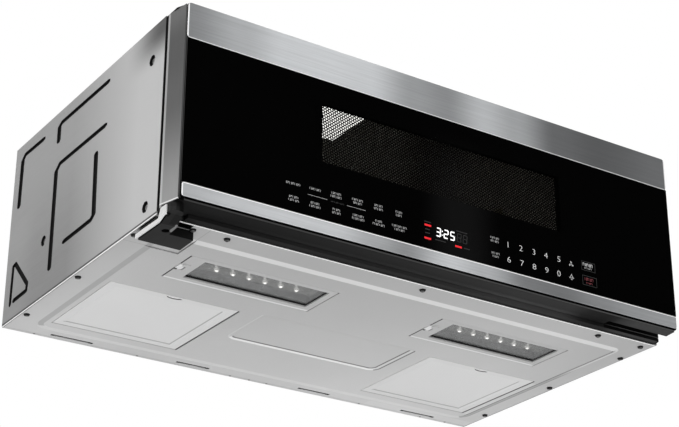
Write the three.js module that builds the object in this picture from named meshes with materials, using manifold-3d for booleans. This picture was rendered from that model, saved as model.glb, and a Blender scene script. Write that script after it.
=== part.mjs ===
// An over-the-range microwave for a 30 inch gap: flat case with a side-hung full-width glass door,
// oven cavity with turntable, vent blower, grease filters and two cooktop lamps in the base.
// Drawn in millimetres with x to the right, y to the back and z up. Drawing zero is the middle of
// the case front at its bottom edge; the finished group is moved so that zero is the wall plate.
import * as THREE from 'three';
import { mergeVertices } from 'three/addons/utils/BufferGeometryUtils.js';
import Module from 'manifold-3d';

const wasm = await Module();
wasm.setup();

// main sizes
const caseWidth = 759;
const caseHeight = 260;
const caseDepth = 430;
const sheet = 1.2;
const gap = 0.3;
const half = caseWidth / 2;

// door
const doorFront = -46;
const doorBack = -4;
const doorLow = 5.5;
const doorHigh = 258.5;
const glassHalf = 374.5;
const pivotX = -369;
const pivotY = -24;
const pinRadius = 3;

// oven cavity, inner faces
const ovenLeft = -275;
const ovenRight = 215;
const ovenFloor = 62;
const ovenRoof = 222;
const ovenBack = 318;
const turnX = -30;
const turnY = 163;

// base panel
const pressDepth = 1.5;
const sillFront = -11.3;
const lampX = 185;
const lampHalf = 105.3;
const lensShift = 6.6;
const lampFront = 79;
const lampBack = 154;
const filterX = 242.5;
const filterHalf = 91.5;
const filterFront = 203.5;
const filterBack = 372.5;
const slotY = 417.5;
const slotRanges = [[-315, -253.5], [-126, -74], [72.5, 126], [252.6, 314]];
const baseScrews = [
  [-372.5, 64.5], [-372.5, 216], [-372.5, 366], [371.8, 65], [371.5, 214.5], [371.5, 365], [364.5, 15.5],
  [-324.6, 14], [-278.3, 15.2], [2.2, 15.2], [287.8, 14.5],
];

// side panel
const grooveWidth = 6.7;
const grooveDepth = 3.2;
const grooves = [
  { wider: 1.8, line: [[150, 240], [284, 240.8], [291.5, 237], [291, 216]] },
  { wider: 1.8, line: [[340.6, 240.2], [399, 241.4], [406.8, 235], [407.4, 166.6]] },
  { wider: 1.8, line: [[151, 178.6], [281, 179.6], [291.4, 172], [289.8, 35.3]] },
  { wider: 1.8, line: [[172.4, 148.4], [168.2, 64.5], [175.5, 59.2], [250.7, 58.4]] },
  { wider: 1.25, line: [[409, 25.4], [408, 79], [401, 80.5], [357.5, 38], [358.5, 28.6], [398, 27.4]] },
];
const sideScrews = [[31, 213.6], [29.7, 20.4], [315, 82.5]];

// where the wall plate's back face ends up
const shift = new THREE.Vector3(0, -caseDepth, -caseHeight / 2);

const part = new THREE.Group();
part.name = 'over_range_microwave';

// ---- solid helpers ----

function toSolid(geometry) {
  const bare = new THREE.BufferGeometry();
  bare.setAttribute('position', geometry.getAttribute('position'));
  if (geometry.index) bare.setIndex(geometry.index);
  const merged = mergeVertices(bare, 1e-4);
  const all = merged.index.array;
  const kept = [];
  for (let i = 0; i < all.length; i += 3) {
    const [a, b, c] = [all[i], all[i + 1], all[i + 2]];
    if (a !== b && b !== c && a !== c) kept.push(a, b, c);
  }
  const mesh = new wasm.Mesh({
    numProp: 3,
    vertProperties: Float32Array.from(merged.getAttribute('position').array),
    triVerts: Uint32Array.from(kept),
  });
  return new wasm.Manifold(mesh);
}

function box(x0, x1, y0, y1, z0, z1) {
  const g = new THREE.BoxGeometry(x1 - x0, y1 - y0, z1 - z0);
  g.translate((x0 + x1) / 2, (y0 + y1) / 2, (z0 + z1) / 2);
  return toSolid(g);
}

// a flat outline drawn in the two other directions, in x, y, z order, and run along one axis
const turns = {
  x: new THREE.Matrix4().set(0, 0, 1, 0, 1, 0, 0, 0, 0, 1, 0, 0, 0, 0, 0, 1),
  y: new THREE.Matrix4().set(1, 0, 0, 0, 0, 0, -1, 0, 0, 1, 0, 0, 0, 0, 0, 1),
  z: new THREE.Matrix4(),
};

function prism(axis, points, from, to, bevel = 0) {
  const shape = new THREE.Shape(points.map(([u, v]) => new THREE.Vector2(u, v)));
  const depth = to - from - 2 * bevel;
  const g = new THREE.ExtrudeGeometry(shape, {
    depth,
    steps: 1,
    curveSegments: 6,
    bevelEnabled: bevel > 0,
    bevelThickness: bevel,
    bevelSize: bevel,
    bevelOffset: -bevel,
    bevelSegments: 1,
  });
  const start = axis === 'y' ? -to : from;
  g.translate(0, 0, start + bevel);
  g.applyMatrix4(turns[axis]);
  return toSolid(g);
}

function circle(cu, cv, radius, count, phase = 0) {
  const points = [];
  for (let i = 0; i < count; i += 1) {
    const a = phase + (2 * Math.PI * i) / count;
    points.push([cu + radius * Math.cos(a), cv + radius * Math.sin(a)]);
  }
  return points;
}

function rod(axis, cu, cv, radius, from, to, count = 16) {
  return prism(axis, circle(cu, cv, radius, count), from, to);
}

// a running bore: its flats stay clear of a shaft of the given radius at every angle
function bore(axis, cu, cv, radius, from, to, count = 16) {
  return rod(axis, cu, cv, (radius + 0.05) / Math.cos(Math.PI / count), from, to, count);
}

// a rectangle with round corners; those at the low v end can have a radius of their own
function roundRect(u0, u1, v0, v1, r, steps = 3, lowRadius = r) {
  const corners = [[u1, v0, -90, -1, 1], [u1, v1, 0, -1, -1], [u0, v1, 90, 1, -1], [u0, v0, 180, 1, 1]];
  const points = [];
  for (const [u, v, start, su, sv] of corners) {
    const radius = sv > 0 ? lowRadius : r;
    for (let i = 0; i <= steps; i += 1) {
      const a = ((start + (90 * i) / steps) * Math.PI) / 180;
      points.push([u + su * radius + radius * Math.cos(a), v + sv * radius + radius * Math.sin(a)]);
    }
  }
  return points;
}

function rect(u0, u1, v0, v1) {
  return [[u0, v0], [u1, v0], [u1, v1], [u0, v1]];
}

// a slab whose lower edge slopes in: wide at zWide, narrow at zNarrow, and straight up to zTop
function pressed(wide, narrow, zNarrow, zWide, zTop) {
  const slope = wasm.Manifold.hull([
    prism('z', narrow, zNarrow, zNarrow + 0.01),
    prism('z', wide, zWide - 0.01, zWide),
  ]);
  return slope.add(prism('z', wide, zWide - 0.01, zTop));
}

// outline of a stroke with round ends and corners along a run of points
function strokeOutline(points, width) {
  const r = width / 2;
  const count = points.length;
  const normals = [];
  for (let i = 0; i + 1 < count; i += 1) {
    const du = points[i + 1][0] - points[i][0];
    const dv = points[i + 1][1] - points[i][1];
    const length = Math.hypot(du, dv);
    normals.push([-dv / length, du / length]);
  }
  const arc = (p, a0, a1, steps) => {
    const out = [];
    for (let i = 0; i <= steps; i += 1) {
      const a = a0 + ((a1 - a0) * i) / steps;
      out.push([p[0] + r * Math.cos(a), p[1] + r * Math.sin(a)]);
    }
    return out;
  };
  const side = (sign, i) => {
    const [a, b] = [normals[i - 1], normals[i]];
    const cross = a[0] * b[1] - a[1] * b[0];
    if (cross * sign < 0) {
      const start = Math.atan2(sign * a[1], sign * a[0]);
      let turn = Math.atan2(sign * b[1], sign * b[0]) - start;
      if (turn > Math.PI) turn -= 2 * Math.PI;
      if (turn < -Math.PI) turn += 2 * Math.PI;
      return arc(points[i], start, start + turn, 2);
    }
    const dot = a[0] * b[0] + a[1] * b[1];
    const k = (sign * r) / (1 + dot);
    return [[points[i][0] + (a[0] + b[0]) * k, points[i][1] + (a[1] + b[1]) * k]];
  };
  const outline = [];
  for (let i = 1; i + 1 < count; i += 1) outline.push(...side(1, i));
  const last = normals[count - 2];
  const end = Math.atan2(last[1], last[0]);
  outline.push(...arc(points[count - 1], end, end - Math.PI, 3));
  for (let i = count - 2; i > 0; i -= 1) outline.push(...side(-1, i).reverse());
  const start = Math.atan2(normals[0][1], normals[0][0]);
  outline.push(...arc(points[0], start + Math.PI, start, 3));
  return outline.reverse();
}

// the same, but wider where it runs up and down than where it runs along
function ribOutline(points, wider, width) {
  return strokeOutline(points.map(([u, v]) => [u / wider, v]), width).map(([u, v]) => [u * wider, v]);
}

function union(solids) {
  return solids.reduce((sum, s) => sum.add(s));
}

// ---- placing a finished solid in the group ----

function add(name, solid, color, roughness, metalness) {
  const mesh = solid.getMesh();
  const g = new THREE.BufferGeometry();
  g.setAttribute('position', new THREE.BufferAttribute(Float32Array.from(mesh.vertProperties), 3));
  g.setIndex(new THREE.BufferAttribute(Uint32Array.from(mesh.triVerts), 1));
  g.translate(shift.x, shift.y, shift.z);
  const flat = g.toNonIndexed();
  flat.computeVertexNormals();
  const material = new THREE.MeshStandardMaterial({ color, roughness, metalness });
  material.name = name;
  const object = new THREE.Mesh(flat, material);
  object.name = name;
  part.add(object);
}

const steel = ['#a9a9a8', 0.42, 0.85];
const brightSteel = ['#b9bcbe', 0.3, 0.95];
const zinc = ['#c4c4c4', 0.45, 0.7];
const black = ['#141414', 0.55, 0.0];

// ---- case ----

function caseWrapper() {
  const top = caseHeight - sheet;
  let solid = box(-half, half, 0, caseDepth, 0, caseHeight);
  solid = solid.subtract(box(-half + sheet, half - sheet, -1, caseDepth + 1, -1, top));
  for (const s of [-1, 1]) {
    const wall = half - sheet;
    const span = (a, b) => (s < 0 ? [-b, -a] : [a, b]);
    const [b0, b1] = span(wall - 14, wall + 0.5);
    solid = solid.add(box(b0, b1, 2.4, caseDepth - 3, sheet + gap, 2 * sheet + gap));
    const [r0, r1] = span(wall - 12, wall + 0.5);
    solid = solid.add(box(r0, r1, caseDepth - sheet, caseDepth, sheet + gap, caseHeight - 0.5));
    for (const { wider, line } of grooves) {
      const [i0, i1] = span(half - sheet - grooveDepth, half - 0.6);
      const [c0, c1] = span(half - grooveDepth, half + 1);
      solid = solid.add(prism('x', ribOutline(line, wider, grooveWidth + 2 * sheet), i0, i1));
      solid = solid.subtract(prism('x', ribOutline(line, wider, grooveWidth), c0, c1));
    }
    for (const [y, z] of sideScrews) {
      const [i0, i1] = span(half - sheet - 3.4, half - 0.6);
      const [c0, c1] = span(half - 3.4, half + 1);
      const [h0, h1] = span(half - 6, half);
      solid = solid.add(rod('x', y, z, 8.6, i0, i1, 10));
      solid = solid.subtract(rod('x', y, z, 7.4, c0, c1, 10));
      solid = solid.subtract(rod('x', y, z, 2.6, h0, h1, 6));
    }
  }
  solid = solid.subtract(box(-180, 180, 14, 64, top - 1, caseHeight + 1));
  solid = solid.subtract(box(-122, 122, 328, 402, top - 1, caseHeight + 1));
  solid = solid.subtract(rod('z', 330, 392, 11, top - 1, caseHeight + 1, 16));
  add('case_wrapper', solid, '#9b9b99', 0.45, 0.85);
}

function basePanel() {
  const wide = roundRect(-351.5, 352.5, 37, 402, 24, 4, 15);
  const narrow = roundRect(-343.5, 345, 45, 392, 17, 4, 8);
  const shape = (lift) => {
    const full = pressed(wide, narrow, -pressDepth + lift, lift, 2.6);
    return full.subtract(box(-380, -306, 0, 84, -8, 8));
  };
  let solid = box(-half + sheet + gap, half - sheet - gap, 2.4, caseDepth - gap, 0, sheet);
  solid = solid.add(shape(0).intersect(box(-360, 360, 30, 410, -4, sheet)));
  solid = solid.subtract(shape(sheet));
  const raisedWide = roundRect(-120.5, 121, 195, 295, 15, 3, 4);
  const raisedNarrow = roundRect(-115.5, 115.5, 200, 289.5, 10, 3, 2);
  solid = solid.add(prism('z', raisedWide, -pressDepth, sheet));
  const hollow = wasm.Manifold.hull([
    prism('z', raisedWide, -pressDepth - 0.02, -pressDepth - 0.01),
    prism('z', raisedNarrow, -0.02, -0.01),
  ]);
  solid = solid.subtract(hollow);
  for (const s of [-1, 1]) {
    const f = s * filterX;
    const room = 0.8;
    solid = solid.subtract(box(f - filterHalf - room, f + filterHalf + room, filterFront - room, filterBack + room, -5, 5));
    const l = s * lampX;
    solid = solid.subtract(box(l - lampHalf - 0.6, l + lampHalf + 0.6, lampFront - 0.6, lampBack + 0.6, -5, 5));
  }
  for (const [x0, x1] of slotRanges) {
    solid = solid.subtract(box(x0, x1, slotY - 2.6, slotY + 2.6, -5, 5));
  }
  solid = solid.subtract(box(-352, -328.4, 4, 16.6, -5, 5));
  // black sill below the door: a channel, open at the top, on a strip of the panel
  let sill = prism('z', [[-345, sillFront], [372.4, sillFront], [375.2, -2], [375.2, -1.4], [-345, -1.4]], 0.2, 4.8);
  sill = sill.subtract(box(-343.8, 371, sillFront + sheet, -2.6, 1.4, 6));
  solid = solid.add(sill.add(box(-345, 374, -3, 2.6, 0.5, sheet)));
  for (const [x, y] of baseScrews) {
    solid = solid.subtract(rod('z', x, y, 2.6, -5, 5, 6));
  }
  add('base_panel', solid, '#b9b9b9', 0.5, 0.6);
}

function backPanel() {
  const inner = half - sheet - grooveDepth - 2 * gap;
  const solid = box(-inner, inner, 412, 412 + sheet, 3.2, caseHeight - sheet - gap);
  add('back_panel', solid, ...steel);
}

function wallPlate() {
  let solid = box(-340, 340, caseDepth - 2, caseDepth, 9, 244);
  for (const x of [-285, -205, 205, 285]) {
    solid = solid.subtract(box(x - 28, x + 28, caseDepth - 5, caseDepth + 1, 60, 130));
  }
  for (const x of [-300, -200, 0, 200, 300]) {
    solid = solid.subtract(rod('y', x, 215, 4.5, caseDepth - 5, caseDepth + 1, 10));
  }
  for (const [x0, x1] of slotRanges) {
    const [a, b] = [x0 + 6, x1 - 6];
    solid = solid.add(box(a, b, slotY - 0.9, caseDepth - 1, 9, 10.6));
    solid = solid.add(box(a, b, slotY - 0.9, slotY + 0.9, 0.3, 10.6));
  }
  add('wall_plate', solid, '#8f8f8d', 0.5, 0.8);
}

function frontPlate() {
  const side = half - sheet - gap;
  let solid = box(-side, side, 0.5, 2, 2.4, caseHeight - sheet - gap);
  solid = solid.subtract(box(ovenLeft, ovenRight, -2, 5, ovenFloor, ovenRoof));
  for (const z of [56, 192]) {
    solid = solid.subtract(box(236, 252, -2, 5, z - 8, z + 18));
  }
  for (const x of [-240, -160, -80, 0, 80, 160]) {
    solid = solid.subtract(box(x - 26, x + 26, -2, 5, 236, 246));
  }
  add('front_plate', solid, '#1b1b1b', 0.5, 0.4);
}

function ovenCavity() {
  const t = 1;
  let solid = box(ovenLeft - t, ovenRight + t, 2.6, ovenBack + t, ovenFloor - t, ovenRoof + t);
  solid = solid.add(box(ovenLeft - 14, ovenRight + 14, 2.3, 3.5, ovenFloor - 14, ovenRoof + 14));
  solid = solid.subtract(box(ovenLeft, ovenRight, 0, ovenBack, ovenFloor, ovenRoof));
  solid = solid.subtract(box(-195, -84, 16, 92, ovenRoof - 2, ovenRoof + 4));
  solid = solid.subtract(box(ovenRight - 3, ovenRight + 5, 120, 190, 130, 200));
  solid = solid.subtract(rod('z', turnX, turnY, 6, ovenFloor - 5, ovenFloor + 5, 16));
  add('oven_cavity', solid, '#c9c7c1', 0.45, 0.2);
  add('cavity_lamp_cover', box(-200, -79, 12, 97, ovenRoof - 2.3, ovenRoof - gap), '#f4f4f0', 0.5, 0);
  const bulb = rod('x', 54, 230, 5.5, -118, -92, 12);
  add('cavity_lamp', union([box(-160, -117, 42, 66, 223.6, 237), bulb]), '#e9e6dc', 0.5, 0);
  add('mica_cover', box(ovenRight - 1.4, ovenRight - gap, 114, 196, 124, 206), '#c8b793', 0.7, 0);
}

// ---- high-voltage side, right of the cavity ----

function powerSide() {
  const x0 = ovenRight + 1 + gap;
  const x1 = 262;
  let guide = box(x0, x1, 110, 290, 124, 206);
  guide = guide.subtract(box(x0 - 1, x1 - 1.2, 111.2, 288.8, 125.2, 204.8));
  guide = guide.subtract(rod('x', 250, 165, 11, x1 - 5, x1 + 5, 14));
  add('waveguide', guide, ...zinc);

  const yoke = box(x1 + gap, 352, 205, 295, 125, 205).subtract(box(x1 + 4, 346, 200, 300, 128, 202));
  const fins = [];
  for (let i = 0; i < 7; i += 1) {
    const x = 272 + i * 9;
    fins.push(box(x, x + 1.2, 208, 292, 127, 203));
  }
  const core = rod('x', 250, 165, 20, 264, 348, 14);
  const antenna = rod('x', 250, 165, 9, 236, 266, 14);
  const filterBox = box(352 - 1, 366, 222, 278, 135, 195);
  add('magnetron', union([yoke, core, antenna, filterBox, ...fins]), '#b3b1a8', 0.4, 0.7);

  const iron = box(268, 352, 66, 146, 30, 96);
  const winding = prism('x', roundRect(72, 140, 40, 86, 10, 2), 258, 362);
  const feet = box(262, 358, 62, 150, 26, 30.5);
  add('hv_transformer', union([iron, winding, feet]), '#5c5048', 0.6, 0.3);

  const can = prism('y', roundRect(300, 362, 26, 60, 16, 3), 14, 56);
  const tabs = union([box(318, 322, 55, 62, 38, 48), box(340, 344, 55, 62, 38, 48)]);
  add('hv_capacitor', can.add(tabs), '#c2c2bf', 0.35, 0.8);

  let shroud = box(262, 358, 336, 356, 117, 213).subtract(rod('y', 310, 165, 42, 330, 360, 20));
  shroud = shroud.add(box(262, 358, 354, 356, 161, 169)).subtract(bore('y', 310, 165, 3, 330, 360, 12));
  add('cooling_fan_shroud', shroud, ...black);
  const fanMotor = union([box(290, 330, 356.3, 380, 145, 185), rod('y', 310, 165, 12, 379, 386, 12)]);
  add('cooling_fan_motor', fanMotor.subtract(bore('y', 310, 165, 3, 355, 383, 12)), '#8d8a84', 0.5, 0.6);
  let fan = union([rod('y', 310, 165, 11, 340, 352, 12), rod('y', 310, 165, 3, 340, 382.5, 12)]);
  for (let i = 0; i < 5; i += 1) {
    const blade = prism('x', [[341, -8], [351, 8], [351, 9.6], [349.6, 9.6], [341, -6.4]], 8, 39);
    const turned = blade.rotate([0, (360 * i) / 5, 0]).translate([310, 0, 165]);
    fan = fan.add(turned);
  }
  add('cooling_fan', fan, '#d8d8d4', 0.5, 0);
}

// ---- vent blower behind the cavity ----

function ventBlower() {
  const cy = 365;
  const cz = 160;
  const outer = (a, b) => rod('x', cy, cz, 41, a, b, 20).add(box(a, b, 326, 404, cz, 256));
  const inner = (a, b) => rod('x', cy, cz, 39.4, a, b, 20).add(box(a, b, 327.6, 402.4, cz, 258));
  let housing = null;
  for (const [a, b] of [[-139, -37], [37, 139]]) {
    let scroll = outer(a, b).subtract(inner(a + 1.6, b - 1.6));
    scroll = scroll.subtract(rod('x', cy, cz, 27, a - 3, b + 3, 16));
    housing = housing ? housing.add(scroll) : scroll;
  }
  housing = housing.add(box(-38, 38, 326, 328, 130, 254));
  add('blower_housing', housing, ...zinc);
  const motor = rod('x', cy, cz, 30, -32, 32, 16).add(box(-12, 12, 328.3, 338, 150, 172));
  add('blower_motor', motor.subtract(bore('x', cy, cz, 4, -40, 40, 12)), '#7d7b76', 0.5, 0.6);
  let rotor = rod('x', cy, cz, 4, -60, 60, 12);
  for (const s of [-1, 1]) {
    const span = (a, b) => (s < 0 ? [-b, -a] : [a, b]);
    const [d0, d1] = span(44, 46);
    rotor = rotor.add(rod('x', cy, cz, 35, d0, d1, 16));
    const [e0, e1] = span(125, 127);
    const ring = rod('x', cy, cz, 35, e0, e1, 16).subtract(rod('x', cy, cz, 28, e0 - 1, e1 + 1, 16));
    rotor = rotor.add(ring);
    for (let i = 0; i < 12; i += 1) {
      const [b0, b1] = span(45.4, 125.6);
      const blade = prism('x', [[28.8, -0.8], [33.4, 1.6], [33.4, 3], [28.8, 0.6]], b0, b1);
      rotor = rotor.add(blade.rotate([(360 * (i + 0.25)) / 12, 0, 0]).translate([0, cy, cz]));
    }
  }
  add('blower_rotor', rotor, '#3a3a3a', 0.5, 0.2);
  add('charcoal_filter', box(-172, 172, 17, 61, 238, 256), '#262626', 0.9, 0);
}

// ---- turntable ----

function turntable() {
  const f = ovenFloor;
  const motor = union([rod('z', turnX, turnY, 24, 44, f - 1 - gap, 18), box(turnX - 34, turnX + 34, turnY - 5, turnY + 5, f - 3, f - 1 - gap)]);
  add('turntable_motor', motor.subtract(bore('z', turnX, turnY, 3.5, 50, 70, 12)), '#b7b5ae', 0.5, 0.5);
  const lobes = [];
  for (let i = 0; i < 3; i += 1) {
    lobes.push(box(0, 15, -3, 3, f + 1, f + 12).rotate([0, 0, 120 * i]).translate([turnX, turnY, 0]));
  }
  const coupler = union([rod('z', turnX, turnY, 3.5, 51, f + 2, 12), rod('z', turnX, turnY, 8, f + 1, f + 12, 12), ...lobes]);
  add('turntable_coupler', coupler, '#e4e2da', 0.5, 0);

  const ringMid = 100;
  const rollerRadius = 7.5;
  const axleZ = f + gap + rollerRadius;
  let ring = rod('z', turnX, turnY, ringMid + 3, axleZ - 2.5, axleZ + 2.5, 28);
  ring = ring.subtract(rod('z', turnX, turnY, ringMid - 3, axleZ - 9, axleZ + 9, 28));
  for (let i = 0; i < 3; i += 1) {
    const axle = rod('x', 0, axleZ, 1.5, ringMid - 2, ringMid + 12, 8);
    ring = ring.add(axle.rotate([0, 0, 90 + 120 * i]).translate([turnX, turnY, 0]));
  }
  add('roller_ring', ring, '#d9d7cf', 0.5, 0);
  for (let i = 0; i < 3; i += 1) {
    let wheel = rod('x', 0, axleZ, rollerRadius, ringMid + 3.6, ringMid + 10.6, 16);
    wheel = wheel.subtract(bore('x', 0, axleZ, 1.5, ringMid, ringMid + 20, 8));
    wheel = wheel.rotate([0, 0, 90 + 120 * i]).translate([turnX, turnY, 0]);
    add(`roller_${i + 1}`, wheel, '#eceae3', 0.5, 0);
  }

  const z = f + 2 * gap + 2 * rollerRadius;
  const profile = [[0, z], [112, z], [128, z + 1], [140, z + 12], [142, z + 13], [142, z + 15], [139, z + 15],
    [126, z + 5], [112, z + 4], [0, z + 4]];
  const dish = new THREE.LatheGeometry(profile.map(([u, v]) => new THREE.Vector2(u, v)), 32);
  dish.rotateX(Math.PI / 2);
  dish.translate(turnX, turnY, 0);
  let tray = toSolid(dish);
  if (tray.volume() < 0) throw new Error('tray is inside out');
  for (let i = 0; i < 3; i += 1) {
    const block = box(9, 14.5, 3.6, 8, f + 6, z + 1).rotate([0, 0, 120 * i]).translate([turnX, turnY, 0]);
    tray = tray.add(block);
  }
  add('glass_tray', tray, '#dfe9e8', 0.1, 0);
}

// ---- cooktop lamps and grease filters in the base ----

function lampSet(side) {
  const s = side === 'left' ? -1 : 1;
  const x = s * lampX;
  const z0 = -pressDepth;
  let frame = prism('z', roundRect(x - lampHalf, x + lampHalf, lampFront, lampBack, 3, 2), z0, 1.2);
  const middle = x + lensShift;
  const lensBox = [middle - 88.8, middle + 88.8, 86.5, 143];
  frame = frame.subtract(box(...lensBox, -5, 5));
  frame = frame.subtract(box(x - 98, x - 93.5, 108, 124, -5, 0));
  frame = frame.add(box(x - 101, x - 92, 104, 110, z0 - 1.6, z0 + 0.2));
  const rebate = box(lensBox[0] - 2.4, lensBox[1] + 2.4, lensBox[2] - 2.4, lensBox[3] + 2.4, 0.4, 5);
  frame = frame.subtract(rebate);
  add(`lamp_frame_${side}`, frame, '#bcbcbc', 0.5, 0.5);
  const lens = box(lensBox[0] - 2.1, lensBox[1] + 2.1, lensBox[2] - 2.1, lensBox[3] + 2.1, 0.7, 2.3);
  add(`lamp_lens_${side}`, lens, '#d5dadb', 0.15, 0);

  let housing = box(x - lampHalf - 6, x + lampHalf + 6, lampFront - 6, lampBack + 6, sheet + gap, 19);
  housing = housing.subtract(box(x - lampHalf + 2, x + lampHalf - 0.4, 84, 149, 0, 17.8));
  housing = housing.subtract(box(x - lampHalf - 1, x + lampHalf + 1, lampFront - 1, lampBack + 1, 0, 8));
  add(`lamp_housing_${side}`, housing, '#8f8f8d', 0.5, 0.4);
  let board = box(middle - 86, middle + 86, 105, 123, 6.5, 8.1);
  for (let i = 0; i < 6; i += 1) {
    const lx = middle + (i - 2.5) * 23;
    board = board.add(box(lx - 2.6, lx + 2.6, 111.4, 116.6, 4.1, 6.6));
    board = board.add(box(lx - 1, lx + 1, 113, 115, 7.9, 17.5));
  }
  add(`lamp_board_${side}`, board, '#f2f2ea', 0.4, 0);
}

function greaseFilter(side) {
  const s = side === 'left' ? -1 : 1;
  const x = s * filterX;
  const z0 = -pressDepth;
  const top = z0 + 5;
  let solid = box(x - filterHalf, x + filterHalf, filterFront, filterBack, z0, top);
  const inner = [x - filterHalf + 11.5, x + filterHalf - 11.5, filterFront + 11.5, filterBack - 11.5];
  const dish = wasm.Manifold.hull([
    prism('z', rect(...inner), z0 - 0.1, z0 - 0.09),
    prism('z', rect(inner[0] + 2, inner[1] - 2, inner[2] + 2, inner[3] - 2), z0 + 0.9, z0 + 0.91),
  ]);
  solid = solid.subtract(dish);
  const notch = [];
  for (let i = 0; i <= 6; i += 1) {
    const a = Math.PI * (i / 6);
    notch.push([x + 11.5 * Math.cos(a), filterFront + 4 + 5 * Math.sin(a)]);
  }
  solid = solid.subtract(prism('z', notch, z0 - 1, z0 + 3.4));
  solid = solid.subtract(box(inner[0], inner[1], inner[2], inner[3], z0 + 3.4, top + 1));
  add(`grease_filter_${side}`, solid, '#cdcdcd', 0.55, 0.5);
}

// ---- top fittings ----

function topFittings() {
  const top = caseHeight;
  let louvre = box(-179.7, 179.7, 14.3, 63.7, top - sheet, top);
  for (let i = 0; i < 12; i += 1) {
    const x = -165 + i * 30;
    louvre = louvre.subtract(box(x - 9, x + 9, 20, 58, top - 5, top + 5));
  }
  add('exhaust_louvre', louvre, ...black);

  const z0 = top + gap;
  let duct = box(-150, 150, 312, 418, z0, z0 + 1.2);
  duct = duct.add(box(-127, 127, 323.5, 406.5, z0, 286));
  duct = duct.subtract(box(-125.8, 125.8, 324.7, 405.3, z0 + 1.2, 290));
  duct = duct.subtract(box(-121.5, 121.5, 328.5, 401.5, z0 - 1, 290));
  duct = duct.subtract(bore('x', 399.5, 265.2, 1.55, -130, 130, 8));
  add('exhaust_adapter', duct, ...zinc);
  const flap = box(-125, 125, 326.5, 400, 262, 263);
  const spindle = rod('x', 399.5, 265.2, 1.55, -126.9, 126.9, 8);
  const lug = box(-120, 120, 398.7, 400, 262.5, 264.9);
  add('damper_flap', union([flap, spindle, lug]), '#a7a7a5', 0.5, 0.7);

  let gland = rod('z', 330, 392, 16, top + gap, top + 4, 16);
  gland = gland.add(rod('z', 330, 392, 10.6, top - 6, top + 3, 16));
  gland = gland.subtract(rod('z', 330, 392, 5, top - 10, top + 10, 16));
  add('cord_gland', gland, ...black);
}

// ---- door latch catch ----

function interlock() {
  let block = box(233, 256, 3.6, 44, 44, 216);
  for (const z of [56, 192]) {
    block = block.subtract(box(236, 252, 0, 30, z - 8, z + 18));
    block = block.add(box(239, 249, 30, 36, z - 2, z + 10));
  }
  for (const z of [96, 126, 156]) {
    block = block.add(box(255, 268, 12, 38, z, z + 18));
  }
  add('interlock_block', block, '#e6e4dc', 0.5, 0);
}

// ---- hinges on the left ----

function hinges() {
  const outline = (x0, r, inset) => union([
    prism('z', [[x0, -24], [-359 - inset, -24], [-355.5 - inset, -6], [-353 - inset, 22], [x0, 22]], -30, 30),
    prism('z', circle(pivotX, pivotY, r, 20), -30, 30),
    prism('z', [[x0, 17 + inset], [-322 - inset, 17 + inset], [-321 - inset, 51 - inset], [x0, 51 - inset]], -30, 30),
  ]);

  // steel arm under the case, with a boss round the pin and a flange down its outer side
  const steel = 2.2;
  let bracket = outline(-375, 7.6, steel).intersect(box(-400, -300, -40, 60, -4.5, -gap));
  bracket = bracket.add(prism('z', circle(pivotX, pivotY, 7.6, 20), -4.5, 5));
  const flange = [[51, -6], [38, -6], [-4.6, -6.7], [-9.8, 4.4], [-22.7, 4], [-22.7, -5.2], [-5.5, -12], [38, -11.5], [51, -11.4]];
  bracket = bracket.add(prism('x', flange, -379.4, -377.7));
  bracket = bracket.add(box(-378.3, -373, -22, 50, -7.4, -4.4));
  bracket = bracket.subtract(rod('z', pivotX, pivotY, pinRadius + gap, -3.4, 8, 12));
  bracket = bracket.subtract(rod('z', -361.4, 10.4, 2.4, -8, 2, 8));
  bracket = bracket.subtract(rod('z', -335, 40, 2.4, -8, 2, 8));
  add('lower_hinge_bracket', bracket, '#c6c6c6', 0.35, 0.8);

  // black cover: a floor below the arm and walls round it, up to the top of the boss
  const side = [[50.6, -0.6], [-4, -0.6], [-4.2, 5], [-34.5, 5], [-34.5, -5.4], [-22.7, -5.6], [-5.5, -12.2], [50.6, -12]];
  let cover = outline(-375.6, 10, 0).intersect(prism('x', side, -400, -300));
  const room = union([
    outline(-400, 7.9, steel - gap).intersect(box(-400, -300, -40, 60, -4.8, 0)),
    prism('z', circle(pivotX, pivotY, 7.9, 20), -4.8, 8),
    box(-400, -300, -14.2, 60, -0.3, 8),
    box(-400, -372.7, -22.3, 60, -7.7, 8),
    box(-400, -377.4, -60, 60, -30, 30),
  ]);
  cover = cover.subtract(room);
  cover = cover.subtract(prism('z', circle(-361.4, 10.4, 5, 12), -20, -6.5));
  add('lower_hinge_cover', cover, '#222222', 0.55, 0);

  // upper arm: thin plate above the door, bent down against the front plate
  const z1 = caseHeight;
  let upper = prism('z', [[-378, -0.3], [-378, -24], [-374, -33], [-364, -33], [-357, -24], [-346, -0.3]], z1 - sheet, z1);
  upper = upper.add(box(-378, -346, -1.3, -gap, 226, z1));
  upper = upper.subtract(rod('z', pivotX, pivotY, pinRadius + gap, 240, 280, 12));
  add('upper_hinge_bracket', upper, ...brightSteel);
  add('lower_hinge_pin', rod('z', pivotX, pivotY, pinRadius, -3.1, 16, 24), ...brightSteel);
  add('upper_hinge_pin', rod('z', pivotX, pivotY, pinRadius, 246, z1, 24), ...brightSteel);

}

// ---- door ----

const doorOutline = (inset) => {
  const front = 374.4 - inset;
  const back = 379.2 - inset;
  const y1 = doorBack;
  return [[-front, -40], [front, -40], [back, y1], [-back + 2, y1], [-back - 0.0, y1 - 2]];
};

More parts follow.
